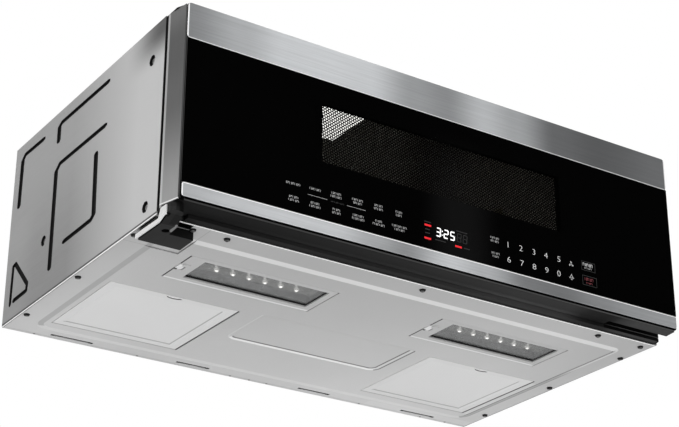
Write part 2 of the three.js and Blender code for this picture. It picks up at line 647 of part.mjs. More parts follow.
function door() {
  const zTop = doorHigh;
  let glass = prism('y', roundRect(-glassHalf, glassHalf, doorLow, zTop, 4, 3), -44.2, -40.3);
  glass = glass.add(box(-glassHalf + 0.5, glassHalf - 0.5, doorFront, -44, 25.6, 210.7));
  add('door_glass', glass, '#050505', 0.06, 0);
  const topStrip = roundRect(-374.2, 374.2, 211, 258.2, 4, 3);
  add('top_trim', prism('y', topStrip, doorFront, -44.5, 0.6), '#9fa1a2', 0.3, 0.95);
  const lowStrip = roundRect(-372.6, 373.9, 8, 25.3, 2.6, 2);
  add('bottom_trim', prism('y', lowStrip, doorFront, -44.5, 0.6), '#b5b8ba', 0.3, 0.95);

  const t = 1.2;
  let shell = prism('z', doorOutline(0), doorLow, zTop);
  shell = shell.subtract(prism('z', doorOutline(t), doorLow - 1, zTop - t).add(box(-376.2, 377, -41, 0, 0, zTop - t).intersect(prism('z', doorOutline(t), 0, zTop - t))));
  shell = shell.subtract(box(-377.4, 377.4, -5, 0, 0, zTop - t));
  shell = shell.subtract(box(360, 390, -21.8, 0, 0, 24));
  shell = shell.subtract(rod('z', pivotX, pivotY, 4.2, 250, 262, 12));
  add('door_shell', shell, '#b4b4b2', 0.38, 0.85);

  let rail = prism('z', doorOutline(t + gap), doorLow, 24).intersect(box(-400, 400, -39.6, -4.4, 0, 30));
  rail = rail.subtract(box(276, 400, -21.8, sillFront, 0, 19.5).add(box(372.4, 400, -21.8, 0, 0, 19.5)));
  rail = rail.subtract(box(300, 400, -21.8, 0, 0, 30).intersect(box(374, 400, -30, 0, 0, 30)));
  rail = rail.subtract(box(-340, 266, -36, -8, 9, 30));
  rail = rail.subtract(bore('z', pivotX, pivotY, pinRadius, 0, 18, 24));
  add('door_bottom_rail', rail, '#262626', 0.5, 0);

  const win = [-190, 212, 97, 206];
  let frame = prism('z', doorOutline(t + gap), 24.3, zTop - t - gap);
  frame = frame.intersect(box(-400, 400, -34, -8, 0, 300));
  const pocket = prism('z', doorOutline(t + gap + 1.5), 25.8, zTop - t - gap - 1.5);
  let hollow = pocket.intersect(box(-400, 400, -32.5, 0, 0, 300));
  hollow = hollow.subtract(box(win[0] - 1.5, win[1] + 1.5, -50, 10, win[2] - 1.5, win[3] + 1.5));
  hollow = hollow.subtract(box(-400, -358, -50, -14, 240, 300));
  frame = frame.subtract(hollow);
  frame = frame.subtract(box(win[0], win[1], -50, 10, win[2], win[3]));
  frame = frame.subtract(bore('z', pivotX, pivotY, pinRadius, 243, 262, 24));
  frame = frame.add(box(236, 250, -33, -12, 236.2, 238.2));
  add('door_frame', frame, '#3c3c3c', 0.5, 0.5);

  add('window_screen', box(win[0] - 4, win[1] + 4, -35.6, -34.3, win[2] - 4, win[3] + 4), '#3b3733', 0.5, 0.5);
  let inner = prism('z', doorOutline(t + gap + 1), 25, 255).intersect(box(-400, 400, -7.7, -4.3, 0, 300));
  inner = inner.subtract(box(win[0] - 5, win[1] + 5, -10, 0, win[2] - 5, win[3] + 5));
  for (const z of [56, 192]) {
    inner = inner.subtract(box(238, 248, -10, 0, z - 6, z + 15));
  }
  add('door_inner_panel', inner, '#2b2b2b', 0.4, 0);
  add('inner_window', box(win[0] - 4.6, win[1] + 4.6, -7.6, -5, win[2] - 4.6, win[3] + 4.6), '#20211f', 0.1, 0);

  let board = box(-240, 245, -38.2, -36.6, 28, 72);
  for (const x of [-180, -90, 90, 180]) board = board.add(box(x - 12, x + 12, -36.8, -34.6, 36, 52));
  add('control_board', board, '#2d4a2f', 0.6, 0);
  add('display_module', box(-46, 19, -40, -38.5, 32, 70), '#111111', 0.3, 0);

  let latch = box(240, 246, -26, -14, 46, 214);
  for (const z of [56, 192]) {
    latch = latch.add(box(241, 245, -15, 24, z, z + 7));
    latch = latch.add(prism('x', [[14, z + 1], [14, z - 5], [17, z - 5], [24, z + 1]], 241, 245));
  }
  latch = latch.add(rod('z', 243, -20, 3, 213, 222, 10));
  add('latch_bar', latch, '#e8e6de', 0.5, 0);
  const coil = [];
  const turnsCount = 3.5;
  const steps = 28;
  for (let i = 0; i <= steps; i += 1) {
    const a = (2 * Math.PI * turnsCount * i) / steps;
    coil.push(new THREE.Vector3(243 + 5 * Math.cos(a), -20 + 5 * Math.sin(a), 215.2 + (20 * i) / steps));
  }
  const wire = new THREE.Shape(circle(0, 0, 0.6, 5).map(([u, v]) => new THREE.Vector2(u, v)));
  const spring = new THREE.ExtrudeGeometry(wire, { steps, extrudePath: new THREE.CatmullRomCurve3(coil), bevelEnabled: false });
  let springSolid = toSolid(spring);
  add('latch_spring', springSolid, ...brightSteel);
}

caseWrapper();
basePanel();
backPanel();
wallPlate();
frontPlate();
ovenCavity();
powerSide();
ventBlower();
turntable();
lampSet('left');
lampSet('right');
greaseFilter('left');
greaseFilter('right');
topFittings();
interlock();
hinges();
door();

export default part;
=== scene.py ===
import math

import bmesh
import bpy
from mathutils import Matrix, Vector


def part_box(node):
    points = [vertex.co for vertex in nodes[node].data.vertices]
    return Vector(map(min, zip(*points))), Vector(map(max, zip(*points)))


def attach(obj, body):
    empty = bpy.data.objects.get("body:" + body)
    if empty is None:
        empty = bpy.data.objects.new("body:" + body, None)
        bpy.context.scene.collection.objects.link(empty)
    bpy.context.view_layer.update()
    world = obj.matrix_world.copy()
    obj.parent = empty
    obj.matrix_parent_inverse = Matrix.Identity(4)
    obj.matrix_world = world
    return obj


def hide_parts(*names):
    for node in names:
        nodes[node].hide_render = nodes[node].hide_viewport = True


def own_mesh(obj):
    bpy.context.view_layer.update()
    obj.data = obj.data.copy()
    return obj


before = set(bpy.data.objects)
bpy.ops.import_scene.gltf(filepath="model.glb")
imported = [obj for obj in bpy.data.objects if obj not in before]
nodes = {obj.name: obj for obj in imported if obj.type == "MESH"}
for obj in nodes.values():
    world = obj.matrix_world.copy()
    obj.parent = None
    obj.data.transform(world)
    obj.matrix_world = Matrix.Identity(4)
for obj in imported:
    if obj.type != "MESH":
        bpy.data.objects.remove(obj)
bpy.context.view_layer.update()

scene = bpy.context.scene
mm = 0.001
zero = (0, 0, 0)
quarterTurn = math.pi / 2
print("frame:", len(nodes), "nodes")

# The drawing measures in millimetres from the middle of the case's lower front edge, and the frame starts
# this far behind and above it.
frameStart = {"y": 430, "z": 130}


def spot(x, y, z):
    return Vector((x, y - frameStart["y"], z - frameStart["z"])) * mm


def yAt(y):
    return spot(0, y, 0).y


def zAt(z):
    return spot(0, 0, z).z


def meshFrom(bm, name):
    mesh = bpy.data.meshes.new(name)
    bm.to_mesh(mesh)
    bm.free()
    return mesh


def linked(name, data):
    made = bpy.data.objects.new(name, data)
    scene.collection.objects.link(made)
    return made


view = {
    "spot": (-1.203500, -2.057408, -0.960852), "azimuth": 33.365, "elevation": 24.675, "roll": 0.1956,
    "lens": 93.619, "sensor": 36, "clip": (0.05, 60),
}


def makeCamera():
    turn, rise, roll = (math.radians(view[k]) for k in ("azimuth", "elevation", "roll"))
    ahead = Vector((math.sin(turn) * math.cos(rise), math.cos(turn) * math.cos(rise), math.sin(rise)))
    right = ahead.cross(Vector((0, 0, 1))).normalized()
    up = right.cross(ahead)
    across = right * math.cos(roll) + up * math.sin(roll)
    above = up * math.cos(roll) - right * math.sin(roll)
    data = bpy.data.cameras.new("photoCamera")
    data.sensor_fit, data.sensor_width, data.lens = "HORIZONTAL", view["sensor"], view["lens"]
    data.clip_start, data.clip_end = view["clip"]
    camera = linked("photoCamera", data)
    camera.matrix_world = Matrix((across, above, -ahead)).transposed().to_4x4()
    camera.location = view["spot"]
    scene.camera = camera


studio = {
    "lamps": {  # place, size across, power
        "frontSoft": ((-1.5, -2.6, 0.7), 1.6, 20), "lowSoft": ((0.3, -1.7, -1.9), 2.2, 22),
        "leftSoft": ((-2.4, -1.0, -0.1), 1.2, 15), "topSoft": ((0.4, 0.3, 2.3), 2.0, 18),
        "backSoft": ((1.2, 2.0, 0.9), 1.6, 14),
    },
    "aim": (0, 200, 110), "fill": 0.55, "glossy": 0.75,
    "cardFacing": (0.4997, -0.7590, 0.4175), "cardEdge": (0.72, 0.95), "cardTone": 0.012,
    "floorDrop": -2.2, "floorSize": 14, "floorTone": 0.86, "floorFade": (0.2, 1.9),
}


def makeLamps():
    for name, (place, size, power) in studio["lamps"].items():
        data = bpy.data.lights.new(name, "AREA")
        data.shape, data.size, data.energy = "DISK", size, power
        lamp = linked(name, data)
        lamp.location = place
        lamp.rotation_euler = (spot(*studio["aim"]) - Vector(place)).to_track_quat("-Z", "Y").to_euler()


# The helpers below add their nodes to this tree. Each material, group and world sets it to its own.
tree = None


def openTree(owner):
    global tree
    owner.use_nodes = True
    tree = owner.node_tree
    tree.nodes.clear()


def wire(value, socket):
    if isinstance(value, bpy.types.NodeSocket):
        tree.links.new(value, socket)
    else:
        socket.default_value = value


# A shader node, its settings, and values or links by socket name or, after an n, by socket number.
def put(kind, setup=None, **wires):
    node = tree.nodes.new("ShaderNode" + kind)
    for key, value in (setup or {}).items():
        setattr(node, key, value)
    for key, value in wires.items():
        wire(value, node.inputs[int(key[1:]) if key[1:].isdigit() else key.replace("_", " ")])
    return node


def calc(operation, *values, clamp=False):
    wires = {"n%d" % i: v for i, v in enumerate(values)}
    return put("Math", {"operation": operation, "use_clamp": clamp}, **wires).outputs[0]


def both(*masks):
    product = masks[0]
    for mask in masks[1:]:
        product = calc("MULTIPLY", product, mask)
    return product


def over(value, limit):
    return calc("GREATER_THAN", value, limit)


def below(value, limit):
    return calc("LESS_THAN", value, limit)


def most(first, second):
    return calc("MAXIMUM", first, second)


def minus(first, second):
    return calc("SUBTRACT", first, second)


def otherwise(mask):
    return minus(1.0, mask)


def scaled(value, times, plus):
    return calc("MULTIPLY_ADD", value, times, plus)


def reach(first, second):
    return calc("SQRT", calc("ADD", both(first, first), both(second, second)))


def blend(factor, first, second):
    setup = {"data_type": "RGBA", "blend_type": "MIX", "clamp_factor": True}
    return put("Mix", setup, n0=factor, n6=first, n7=second).outputs[2]


def slope(value, low, high, toLow=0.0, toHigh=1.0):
    return put("MapRange", None, n0=value, n1=low, n2=high, n3=toLow, n4=toHigh).outputs[0]


def span(value, low, high, toLow=0.0, toHigh=1.0):
    setup = {"interpolation_type": "SMOOTHSTEP"}
    return put("MapRange", setup, n0=value, n1=low, n2=high, n3=toLow, n4=toHigh).outputs[0]


def inBand(value, low, high, soft=0.0003):
    return both(span(value, low - soft, low + soft), span(value, high + soft, high - soft))


# Strips along the low and the high side of a box. They are gone at the first distance from that side.
def nearLow(value, side, gone, full):
    return span(value, side + gone, side + full)


def nearHigh(value, side, gone, full):
    return span(value, side - gone, side - full)


def vector(operation, first, second):
    return put("VectorMath", {"operation": operation}, n0=first, n1=second).outputs[0]


def dim(colour, factor):
    return put("VectorMath", {"operation": "SCALE"}, n0=colour, Scale=factor).outputs[0]


def here():
    return put("TexCoord").outputs["Object"]


def apart(place):
    return put("SeparateXYZ", n0=place).outputs[:3]


def axes():
    return apart(here())


def noise(place, scale, detail, rough):
    return put("TexNoise", None, Vector=place, Scale=scale, Detail=detail, Roughness=rough).outputs[0]


def contrast(value, amount):
    return calc("MULTIPLY_ADD", minus(value, 0.5), amount, 0.5, clamp=True)


def rgb(hexText):
    values = [int(hexText[i:i + 2], 16) / 255 for i in (0, 2, 4)]
    return tuple(v / 12.92 if v <= 0.04045 else ((v + 0.055) / 1.055) ** 2.4 for v in values) + (1.0,)


def layOver(colour, mask, tone, share=1.0):
    return blend(both(mask, share), colour, rgb(tone))


# Inputs are vectors where their first value is one, and else numbers. Outputs are all numbers.
def newGroup(name, takes, *gives):
    global tree
    tree = bpy.data.node_groups.new(name, "ShaderNodeTree")
    for label, value in takes.items():
        kind = "NodeSocketVector" if isinstance(value, tuple) else "NodeSocketFloat"
        tree.interface.new_socket(name=label, in_out="INPUT", socket_type=kind).default_value = value
    for label in gives:
        tree.interface.new_socket(name=label, in_out="OUTPUT", socket_type="NodeSocketFloat")
    return tree.nodes.new("NodeGroupInput").outputs, tree.nodes.new("NodeGroupOutput").inputs


def useGroup(group, **wires):
    return put("Group", {"node_tree": group}, **wires).outputs


# Fine lines that run along one axis, as a belt leaves on steel.
def makeGrain():
    take, give = newGroup("brushGrain", {"Stretch": (40, 900, 900), "Contrast": 1.0}, "Tone", "Height")
    wide = vector("MULTIPLY", here(), take["Stretch"])
    fine, coarse = noise(wide, 1.0, 4.0, 0.65), noise(wide, 0.23, 2.0, 0.5)
    mixed = calc("ADD", both(fine, 0.6), both(coarse, 0.4))
    wire(contrast(mixed, take["Contrast"]), give["Tone"])
    wire(fine, give["Height"])
    return tree


# Slow clouds of tone, as rolled or painted sheet has.
def makeMottle():
    take, give = newGroup("mottle", {"Scale": 6.0, "Contrast": 1.0}, "Tone")
    wire(contrast(noise(here(), take["Scale"], 3.0, 0.55), take["Contrast"]), give["Tone"])
    return tree


# Pebbles of a moulded or sprayed skin.
def makePebble():
    take, give = newGroup("pebble", {"Scale": 900.0}, "Height", "Tone")
    place = here()
    grains = noise(place, take["Scale"], 2.0, 0.6)
    cells = put("TexVoronoi", {"feature": "SMOOTH_F1"}, Vector=place, Scale=take["Scale"]).outputs[0]
    wire(scaled(cells, -0.6, grains), give["Height"])
    wire(grains, give["Tone"])
    return tree


# Where two sides of a piece's box meet, with a broken border: worn edges that are also a painted highlight.
def makeEdgeWearAndHighlight():
    takes = {"Low": (0, 0, 0), "High": (1, 1, 1), "Width": 0.001, "Break": 0.3}
    take, give = newGroup("edgeWearAndHighlight", takes, "Mask")
    place = here()
    near = vector("MINIMUM", vector("SUBTRACT", place, take["Low"]), vector("SUBTRACT", take["High"], place))
    x, y, z = apart(near)
    middle = most(calc("MINIMUM", x, y), calc("MINIMUM", most(x, y), z))  # of the three distances
    grains = noise(place, 140.0, 3.0, 0.5)
    wide = both(take["Width"], scaled(minus(grains, 0.5), take["Break"], 1.0))
    wire(calc("SUBTRACT", 1.0, calc("DIVIDE", middle, wide), clamp=True), give["Mask"])
    return tree


# Small settled specks.
def makeDust():
    take, give = newGroup("dust", {"Scale": 500.0, "Cover": 0.05}, "Mask")
    cells = put("TexVoronoi", {"feature": "F1"}, Vector=here(), Scale=take["Scale"]).outputs
    picked = below(put("SeparateColor", n0=cells[1]).outputs[0], take["Cover"])
    wire(both(picked, below(cells[0], 0.32)), give["Mask"])
    return tree


# Staggered round holes on the first two numbers of Place.
def makeHoles():
    takes = {"Place": (0, 0, 0), "Pitch": 0.0025, "Radius": 0.0008}
    take, give = newGroup("holes", takes, "Mask")
    across, along, _ = apart(take["Place"])
    tall = both(take["Pitch"], math.sqrt(3))
    found = []
    for shift in (0.0, 0.5):
        offs = []
        for value, size in ((across, take["Pitch"]), (along, tall)):
            part = calc("FRACT", calc("ADD", calc("DIVIDE", value, size), 0.5 + shift))
            offs.append(both(minus(part, 0.5), size))
        found.append(reach(*offs))
    wire(slope(calc("MINIMUM", *found), take["Radius"], both(take["Radius"], 0.8)), give["Mask"])
    return tree


brushGrain, mottle, pebble = makeGrain(), makeMottle(), makePebble()
edgeWearAndHighlight, dust, holes = makeEdgeWearAndHighlight(), makeDust(), makeHoles()
print("node groups made")

plainLook = {
    "metal": 0.0, "specular": 0.5, "coat": 0.0, "alpha": None, "stretch": None, "grain": 0.3, "mottle": 7.0,
    "cloud": 1.2, "pebble": None, "bump": 0.05, "wear": None, "wearWidth": 0.7, "wearShare": 0.5,
    "dust": 0.02, "glow": None, "strength": None,
}
everyLook = {
    "lineContrast": 2.2, "wearBreak": 0.5, "dustScale": 420.0, "dustShare": 0.35, "dustTone": "c8c8c4",
    "coatRough": 0.08, "bumpDepth": 0.0004,
}


# A look is two tones, the least and greatest roughness, the nodes that it goes on and what differs from
# plain.
def look(dark, light, smooth, rough, on="", **more):
    return {**plainLook, "dark": dark, "light": light, "rough": (smooth, rough), "on": on, **more}


# Every finish is built here. A tweak changes what only one piece has: its colour, or several of these values.
def makeFinish(name, style, box=None, tweak=None):
    material = bpy.data.materials.new(name)
    openTree(material)
    out = put("OutputMaterial")
    shader = put("BsdfPrincipled", None, Metallic=style["metal"], Specular_IOR_Level=style["specular"])
    wire(shader.outputs[0], out.inputs[0])
    cloud = useGroup(mottle, Scale=style["mottle"], Contrast=style["cloud"])["Tone"]
    colour = blend(cloud, rgb(style["dark"]), rgb(style["light"]))
    roughTone, height = cloud, None
    shades = 1 - style["grain"], 1 + style["grain"]
    if style["stretch"]:
        grain = useGroup(brushGrain, Stretch=style["stretch"], Contrast=everyLook["lineContrast"])
        colour = dim(colour, span(grain["Tone"], 0.2, 0.8, *shades))
        roughTone, height = grain["Tone"], grain["Height"]
    if style["pebble"]:
        skin = useGroup(pebble, Scale=style["pebble"])
        colour = dim(colour, span(skin["Tone"], 0.3, 0.7, *shades))
        height = skin["Height"]
    if style["dust"]:
        specks = useGroup(dust, Scale=everyLook["dustScale"], Cover=style["dust"])["Mask"]
        colour = layOver(colour, specks, everyLook["dustTone"], everyLook["dustShare"])
    # edges painted lighter, part wear and part painted highlight
    if style["wear"] and box:
        width = style["wearWidth"] * mm
        wornAndHighlit = useGroup(edgeWearAndHighlight, Low=box[0], High=box[1], Width=width, Break=everyLook["wearBreak"])["Mask"]
        colour = layOver(colour, wornAndHighlit, style["wear"], style["wearShare"])
    have = {
        "colour": colour, "rough": span(roughTone, 0.2, 0.8, *style["rough"]), "alpha": style["alpha"],
        "glow": style["glow"] and rgb(style["glow"]), "strength": style["strength"], "height": height,
        "box": box,
    }
    if tweak:
        made = tweak(colour, have)
        have.update(made if isinstance(made, dict) else {"colour": made})
    inputs = {"colour": "Base Color", "rough": "Roughness", "alpha": "Alpha", "glow": "Emission Color",
              "strength": "Emission Strength"}
    for key, label in inputs.items():
        if have[key] is not None:
            wire(have[key], shader.inputs[label])
    wire(style["coat"], shader.inputs["Coat Weight"])
    wire(everyLook["coatRough"], shader.inputs["Coat Roughness"])
    if have["height"] is not None and style["bump"]:
        wires = {"Strength": style["bump"], "Distance": everyLook["bumpDepth"], "Height": have["height"]}
        wire(put("Bump", None, **wires).outputs[0], shader.inputs["Normal"])
    return material


# Its first row is in metres and the others are in the drawing's millimetres.
wrapper = {
    "side": 0.3725, "skin": 0.3793, "grooves": (0.37947, 0.37925), "roof": 0.1284,
    "back": (60, 240), "low": (215, 20), "rearY": (330, 400), "rearZ": (160, 120), "cornerZ": (200, 245),
    "cornerY": (105, 10), "hem": (1.7, 1.2), "seam": (1.8, 4.0),
}


# Painted shade: the sides darken to the back and, on the left, to the upper front corner, they lighten a
# little low at the back, and their grooves and dimples are painted black as shade.
def shadeWrapper(colour, have):
    x, y, z = axes()
    out, left = calc("ABSOLUTE", x), below(x, 0.0)
    back = slope(y, *map(yAt, wrapper["back"]))
    low = span(z, *map(zAt, wrapper["low"]), -0.05, 0.15)
    shade = minus(1.03, both(back, calc("ADD", 0.43, low)))
    rear = both(span(y, *map(yAt, wrapper["rearY"])), span(z, *map(zAt, wrapper["rearZ"])))
    shade = scaled(rear, 0.08, shade)
    corner = both(span(z, *map(zAt, wrapper["cornerZ"])), span(y, *map(yAt, wrapper["cornerY"])))
    shade = both(shade, scaled(both(corner, left), -0.88, 1.0))
    side, skin = over(out, wrapper["side"]), over(out, wrapper["skin"])
    colour = blend(side, colour, dim(colour, shade))
    # a painted highlight along the hem, and painted shade in the seam above it
    colour = layOver(colour, both(skin, span(z, *map(zAt, wrapper["hem"]))), "ffffff")
    colour = layOver(colour, both(skin, inBand(z, *map(zAt, wrapper["seam"]))), "050505", 0.95)
    deep = both(span(out, *wrapper["grooves"]), side, below(z, wrapper["roof"]), over(z, zAt(4)))
    return {"colour": layOver(colour, deep, "040404"), "rough": most(have["rough"], deep)}


# The pressed field of the base and the recess in its middle, with the radius of their front and back corners.
pressShape = {"x": (-351.5, 352.5), "y": (37, 402), "front": 15, "back": 24}
recessShape = {"x": (-120.5, 121), "y": (195, 295), "front": 4, "back": 15}


# How far a point lies outside a rounded outline on the base, and which of its four sides is nearest.
def aroundOutline(x, y, shape):
    (x0, x1), (y0, y1) = [[v * mm for v in shape[axis]] for axis in ("x", "y")]
    y0, y1 = y0 - frameStart["y"] * mm, y1 - frameStart["y"] * mm
    rear, toRight = over(y, (y0 + y1) / 2), over(x, (x0 + x1) / 2)
    bend = scaled(rear, (shape["back"] - shape["front"]) * mm, shape["front"] * mm)
    offs = []
    for value, low, high in ((x, x0, x1), (y, y0, y1)):
        offs.append(minus(calc("ABSOLUTE", minus(value, (low + high) / 2)), (high - low) / 2))
    past = [calc("ADD", off, bend) for off in offs]
    outer = reach(*[most(value, 0.0) for value in past])
    inner = calc("MINIMUM", most(*past), 0.0)
    far = minus(calc("ADD", outer, inner), bend)
    along = over(offs[1], offs[0])
    across = otherwise(along)
    return far, {"rear": both(along, rear), "front": both(along, otherwise(rear)),
                 "right": both(across, toRight), "left": both(across, otherwise(toRight))}


def toneRamp(factor, stops):
    ramp = put("ValToRGB", None, Fac=factor)
    for index, (place, tone) in enumerate(stops):
        stop = ramp.color_ramp.elements[index] if index < 2 else ramp.color_ramp.elements.new(1.0)
        stop.position, stop.color = place, (tone, tone, tone, 1)
    return ramp


def alongTones(value, stops):
    low, high = stops[0][0], stops[-1][0]
    places = [((place - low) / (high - low), tone) for place, tone in stops]
    return toneRamp(slope(value, low * mm, high * mm), places).outputs[0]


# Painted light and shade along the door's black underside: its tone along its length, in millimetres from the
# middle.
railTones = [(-370, 0.004), (-300, 0.005), (-240, 0.0072), (-150, 0.0105), (-60, 0.0123), (40, 0.0182),
             (120, 0.0251), (205, 0.0251), (236, 0.0070), (262, 0.0036), (278, 0.0060), (290, 0.0240),
             (312, 0.040), (345, 0.040), (375, 0.034)]

base = {
    # painted light and shade: tone from front to back, and along the width
    "foreAndAft": (20, 400, 0.86, 1.17),
    "sideways": [(-380, 0.50), (-340, 0.53), (-180, 0.49), (-10, 0.51), (150, 0.555), (250, 0.56),
                 (340, 0.515), (380, 0.515)],
    # the press and recess rows are painted highlight and shade lines on the slopes
    "press": [  # side, how far outside the outline from and to, tone, share, where
        ("front", -9.5, -0.5, "f2f2f2", 0.62, None), ("rear", -12.0, 1.0, "ffffff", 0.30, None),
        ("right", -9.1, -6.9, "4e4e4e", 0.75, None), ("right", -6.6, -1.2, "8a8a8a", 0.45, "behind"),
        ("right", -0.7, 1.3, "5a5a5a", 0.62, "behind"), ("right", -4.0, -0.2, "f0f0f0", 0.55, "ahead"),
        ("left", -9.6, -2.2, "8c8c8c", 0.42, None),
    ],
    "recess": [
        ("rear", -6.7, -4.3, "4a4a4a", 0.75, None), ("rear", -3.9, -0.3, "ffffff", 0.75, None),
        ("right", -6.9, -4.9, "424242", 0.85, None), ("right", -1.0, 1.0, "424242", 0.8, None),
        ("right", -4.3, -1.7, "f0f0f0", 0.35, None), ("left", -2.4, 0.4, "ffffff", 0.22, None),
    ],
    # painted highlight and shade strips
    "strips": [  # x from and to, y from and to, tone, share
        (190, 376, 405, 429, "f0f0f0", 0.25), (335, 343, 210, 374, "f6f6f6", 0.30),
        (-376, 376, 422.8, 428.6, "5c5c5c", 0.16), (-328, -320, 17, 84, "d8d8d8", 0.2),
    ],
    # dark dots of painted shade, standing for small holes along the rear edge, at these places along X
    "rearDots": [-335, -182, -35, -4, 25, 184, 295, 341],
    "dotRow": 426.6, "dotEdge": (0.0019, 0.0013),
    # along X in metres, and along Y in the drawing's millimetres
    "hingeEnd": -0.3052, "hingeBack": 84.8, "stepX": (-0.3064, -0.3056), "stepY": (83.6, 84.4),
    "holeX": (-0.353, -0.3278), "holeY": (3.6, 17.4), "hem": -0.3755, "rightEnd": 0.3702, "pocket": 0.276,
}


# Painted light and shade on the base: it grows lighter to the back and changes in tone along its width, its
# front lip has a painted highlight, its pressed lines have painted highlights and shade by their slope, and
# the sill in front is black.
def shadeBase(colour, have):
    x, y, z = axes()
    front, rear, toFront, toRear = base["foreAndAft"]
    colour = dim(colour, slope(y, yAt(front), yAt(rear), toFront, toRear))
    colour = vector("MULTIPLY", dim(colour, 2.0), alongTones(x, base["sideways"]))
    behind = span(y, yAt(115), yAt(180))
    masks = {"behind": behind, "ahead": otherwise(behind)}
    for shape, rows in ((pressShape, base["press"]), (recessShape, base["recess"])):
        far, sides = aroundOutline(x, y, shape)
        for side, inner, outer, tone, share, where in rows:
            mask = both(sides[side], inBand(far, inner * mm, outer * mm, 0.0005))
            colour = layOver(colour, both(mask, masks[where]) if where else mask, tone, share)
    for x0, x1, y0, y1, tone, share in base["strips"]:
        mask = both(inBand(x, x0 * mm, x1 * mm, 0.0008), inBand(y, yAt(y0), yAt(y1), 0.0008))
        colour = layOver(colour, mask, tone, share)
    # painted shade of the small holes along the rear edge
    down = minus(y, yAt(base["dotRow"]))
    for place in base["rearDots"]:
        away = reach(minus(x, place * mm), down)
        colour = layOver(colour, span(away, *base["dotEdge"]), "181818", 0.9)
    # painted shade darkens the step round the hinge and fills the hole beside the hinge
    nearHinge = both(below(x, base["hingeEnd"]), below(y, yAt(base["hingeBack"])))
    step = most(inBand(x, *base["stepX"], 0.0001), inBand(y, *map(yAt, base["stepY"]), 0.0001))
    colour = blend(both(nearHinge, step), colour, dim(colour, 0.72))
    hole = both(inBand(x, *base["holeX"], 0.0001), inBand(y, *map(yAt, base["holeY"]), 0.0001))
    colour = layOver(colour, both(hole, over(z, zAt(0.06))), "020202")
    # painted shadow also lies on the strip between the hinge's flange and the case's hem
    colour = layOver(colour, both(below(x, base["hem"]), span(y, yAt(52), yAt(40))), "060606", 0.95)
    # a painted highlight along the front lip
    lip = both(span(y, yAt(4.6), yAt(3.6)), below(z, zAt(1.0)))
    colour = layOver(colour, lip, "ffffff", 0.95)
    # the sill takes the rail's painted light along its length, its front wall is painted lighter against its
    # shade, and painted shadow lies along its rear edge, at its right end and on its wall by the finger
    # pocket
    sill = below(y, yAt(2.2))
    tone = alongTones(x, railTones)
    wall = both(below(y, yAt(-11.1)), over(z, zAt(0.25)))
    tone = blend(wall, dim(tone, 0.95), dim(tone, 2.3))
    edge = most(over(y, yAt(-4.4)), over(x, base["rightEnd"]))
    tone = blend(most(edge, both(wall, over(x, base["pocket"]))), tone, rgb("020202"))
    return {"colour": blend(sill, colour, tone), "rough": most(have["rough"], both(sill, 0.6))}


lampRim = {"front": (0.0016, 0.0011), "rear": (0.0042, 0.0034), "left": (0.0016, 0.0011),
           "right": (0.0012, 0.0008), "clip": (106, 121)}


# The lamp frame's rear rim has a painted highlight and its front rim a faint one, and its two ends are
# painted dark as shade.
def rimLamp(colour, have):
    x, y, z = axes()
    low, high = have["box"]
    colour = layOver(dim(colour, 0.97), nearLow(y, low.y, *lampRim["front"]), "c8c8c8", 0.4)
    colour = layOver(colour, nearHigh(y, high.y, *lampRim["rear"]), "ffffff", 0.55)
    clipSide = inBand(y, *map(yAt, lampRim["clip"]))
    left = both(nearLow(x, low.x, *lampRim["left"]), otherwise(clipSide))
    right = nearHigh(x, high.x, *lampRim["right"])
    return layOver(layOver(colour, left, "161616", 0.92), right, "565656", 0.8)


# Painted light on the dark plate behind the door: it lightens slowly from left to right, and a patch low at
# its left end, by the hinge, is painted lighter.
def fadeAcross(colour, have):
    x, y, z = axes()
    colour = dim(colour, slope(x, -0.34, 0.2, 0.35, 1.8))
    return layOver(colour, both(below(x, -0.336), below(z, zAt(12))), "343434")


grip = {"left": 0.2757, "depth": (-22.1, -4), "roof": 6, "rear": (-22, -12)}


# Painted light and shade on the door's bottom rail: its tone changes along its length, the finger pocket is
# painted black inside as shade, and the rail's rear edge is painted a little lighter against its shade.
def shadeRail(colour, have):
    x, y, z = axes()
    roof = zAt(grip["roof"])
    inside = both(over(x, grip["left"]), inBand(y, *map(yAt, grip["depth"]), 0.0001), over(z, roof))
    tone = vector("MULTIPLY", dim(colour, 134.0), alongTones(x, railTones))
    behind = both(span(y, *map(yAt, grip["rear"]), 0.0, 1.3), below(z, roof))
    return layOver(dim(tone, calc("ADD", behind, 1.0)), inside, "020202")


hingeCover = {
    "lowerEdge": -11.3, "wallY": (16.4, 17.6), "wellX": (-0.367, -0.350), "frontY": -16, "topZ": -0.5,
    "rimX": -0.3586, "rimY": (-18, 10), "rimZ": (-12.4, -10.9),
}


# The cover has painted shade on its inner wall, in the well beside the arm and on the side that faces the
# door, above its lower edge, which has a painted highlight.
def shadeCover(colour, have):
    x, y, z = axes()
    above = over(z, zAt(hingeCover["lowerEdge"]))
    wall = both(inBand(y, *map(yAt, hingeCover["wallY"]), 0.0002), above)
    well = both(above, inBand(x, *hingeCover["wellX"], 0.0002))
    colour = layOver(dim(colour, 0.8), most(wall, well), "020202")
    front = both(below(y, yAt(hingeCover["frontY"])), over(z, zAt(hingeCover["topZ"])))
    colour = layOver(colour, front, "040404")
    rim = both(inBand(y, *map(yAt, hingeCover["rimY"])), inBand(z, *map(zAt, hingeCover["rimZ"]), 0.0002))
    return layOver(colour, both(rim, over(x, hingeCover["rimX"])), "8a8a8a", 0.75)


bracket = {"strip": (-0.3787, -4.6, -6.9), "flange": -0.37765}


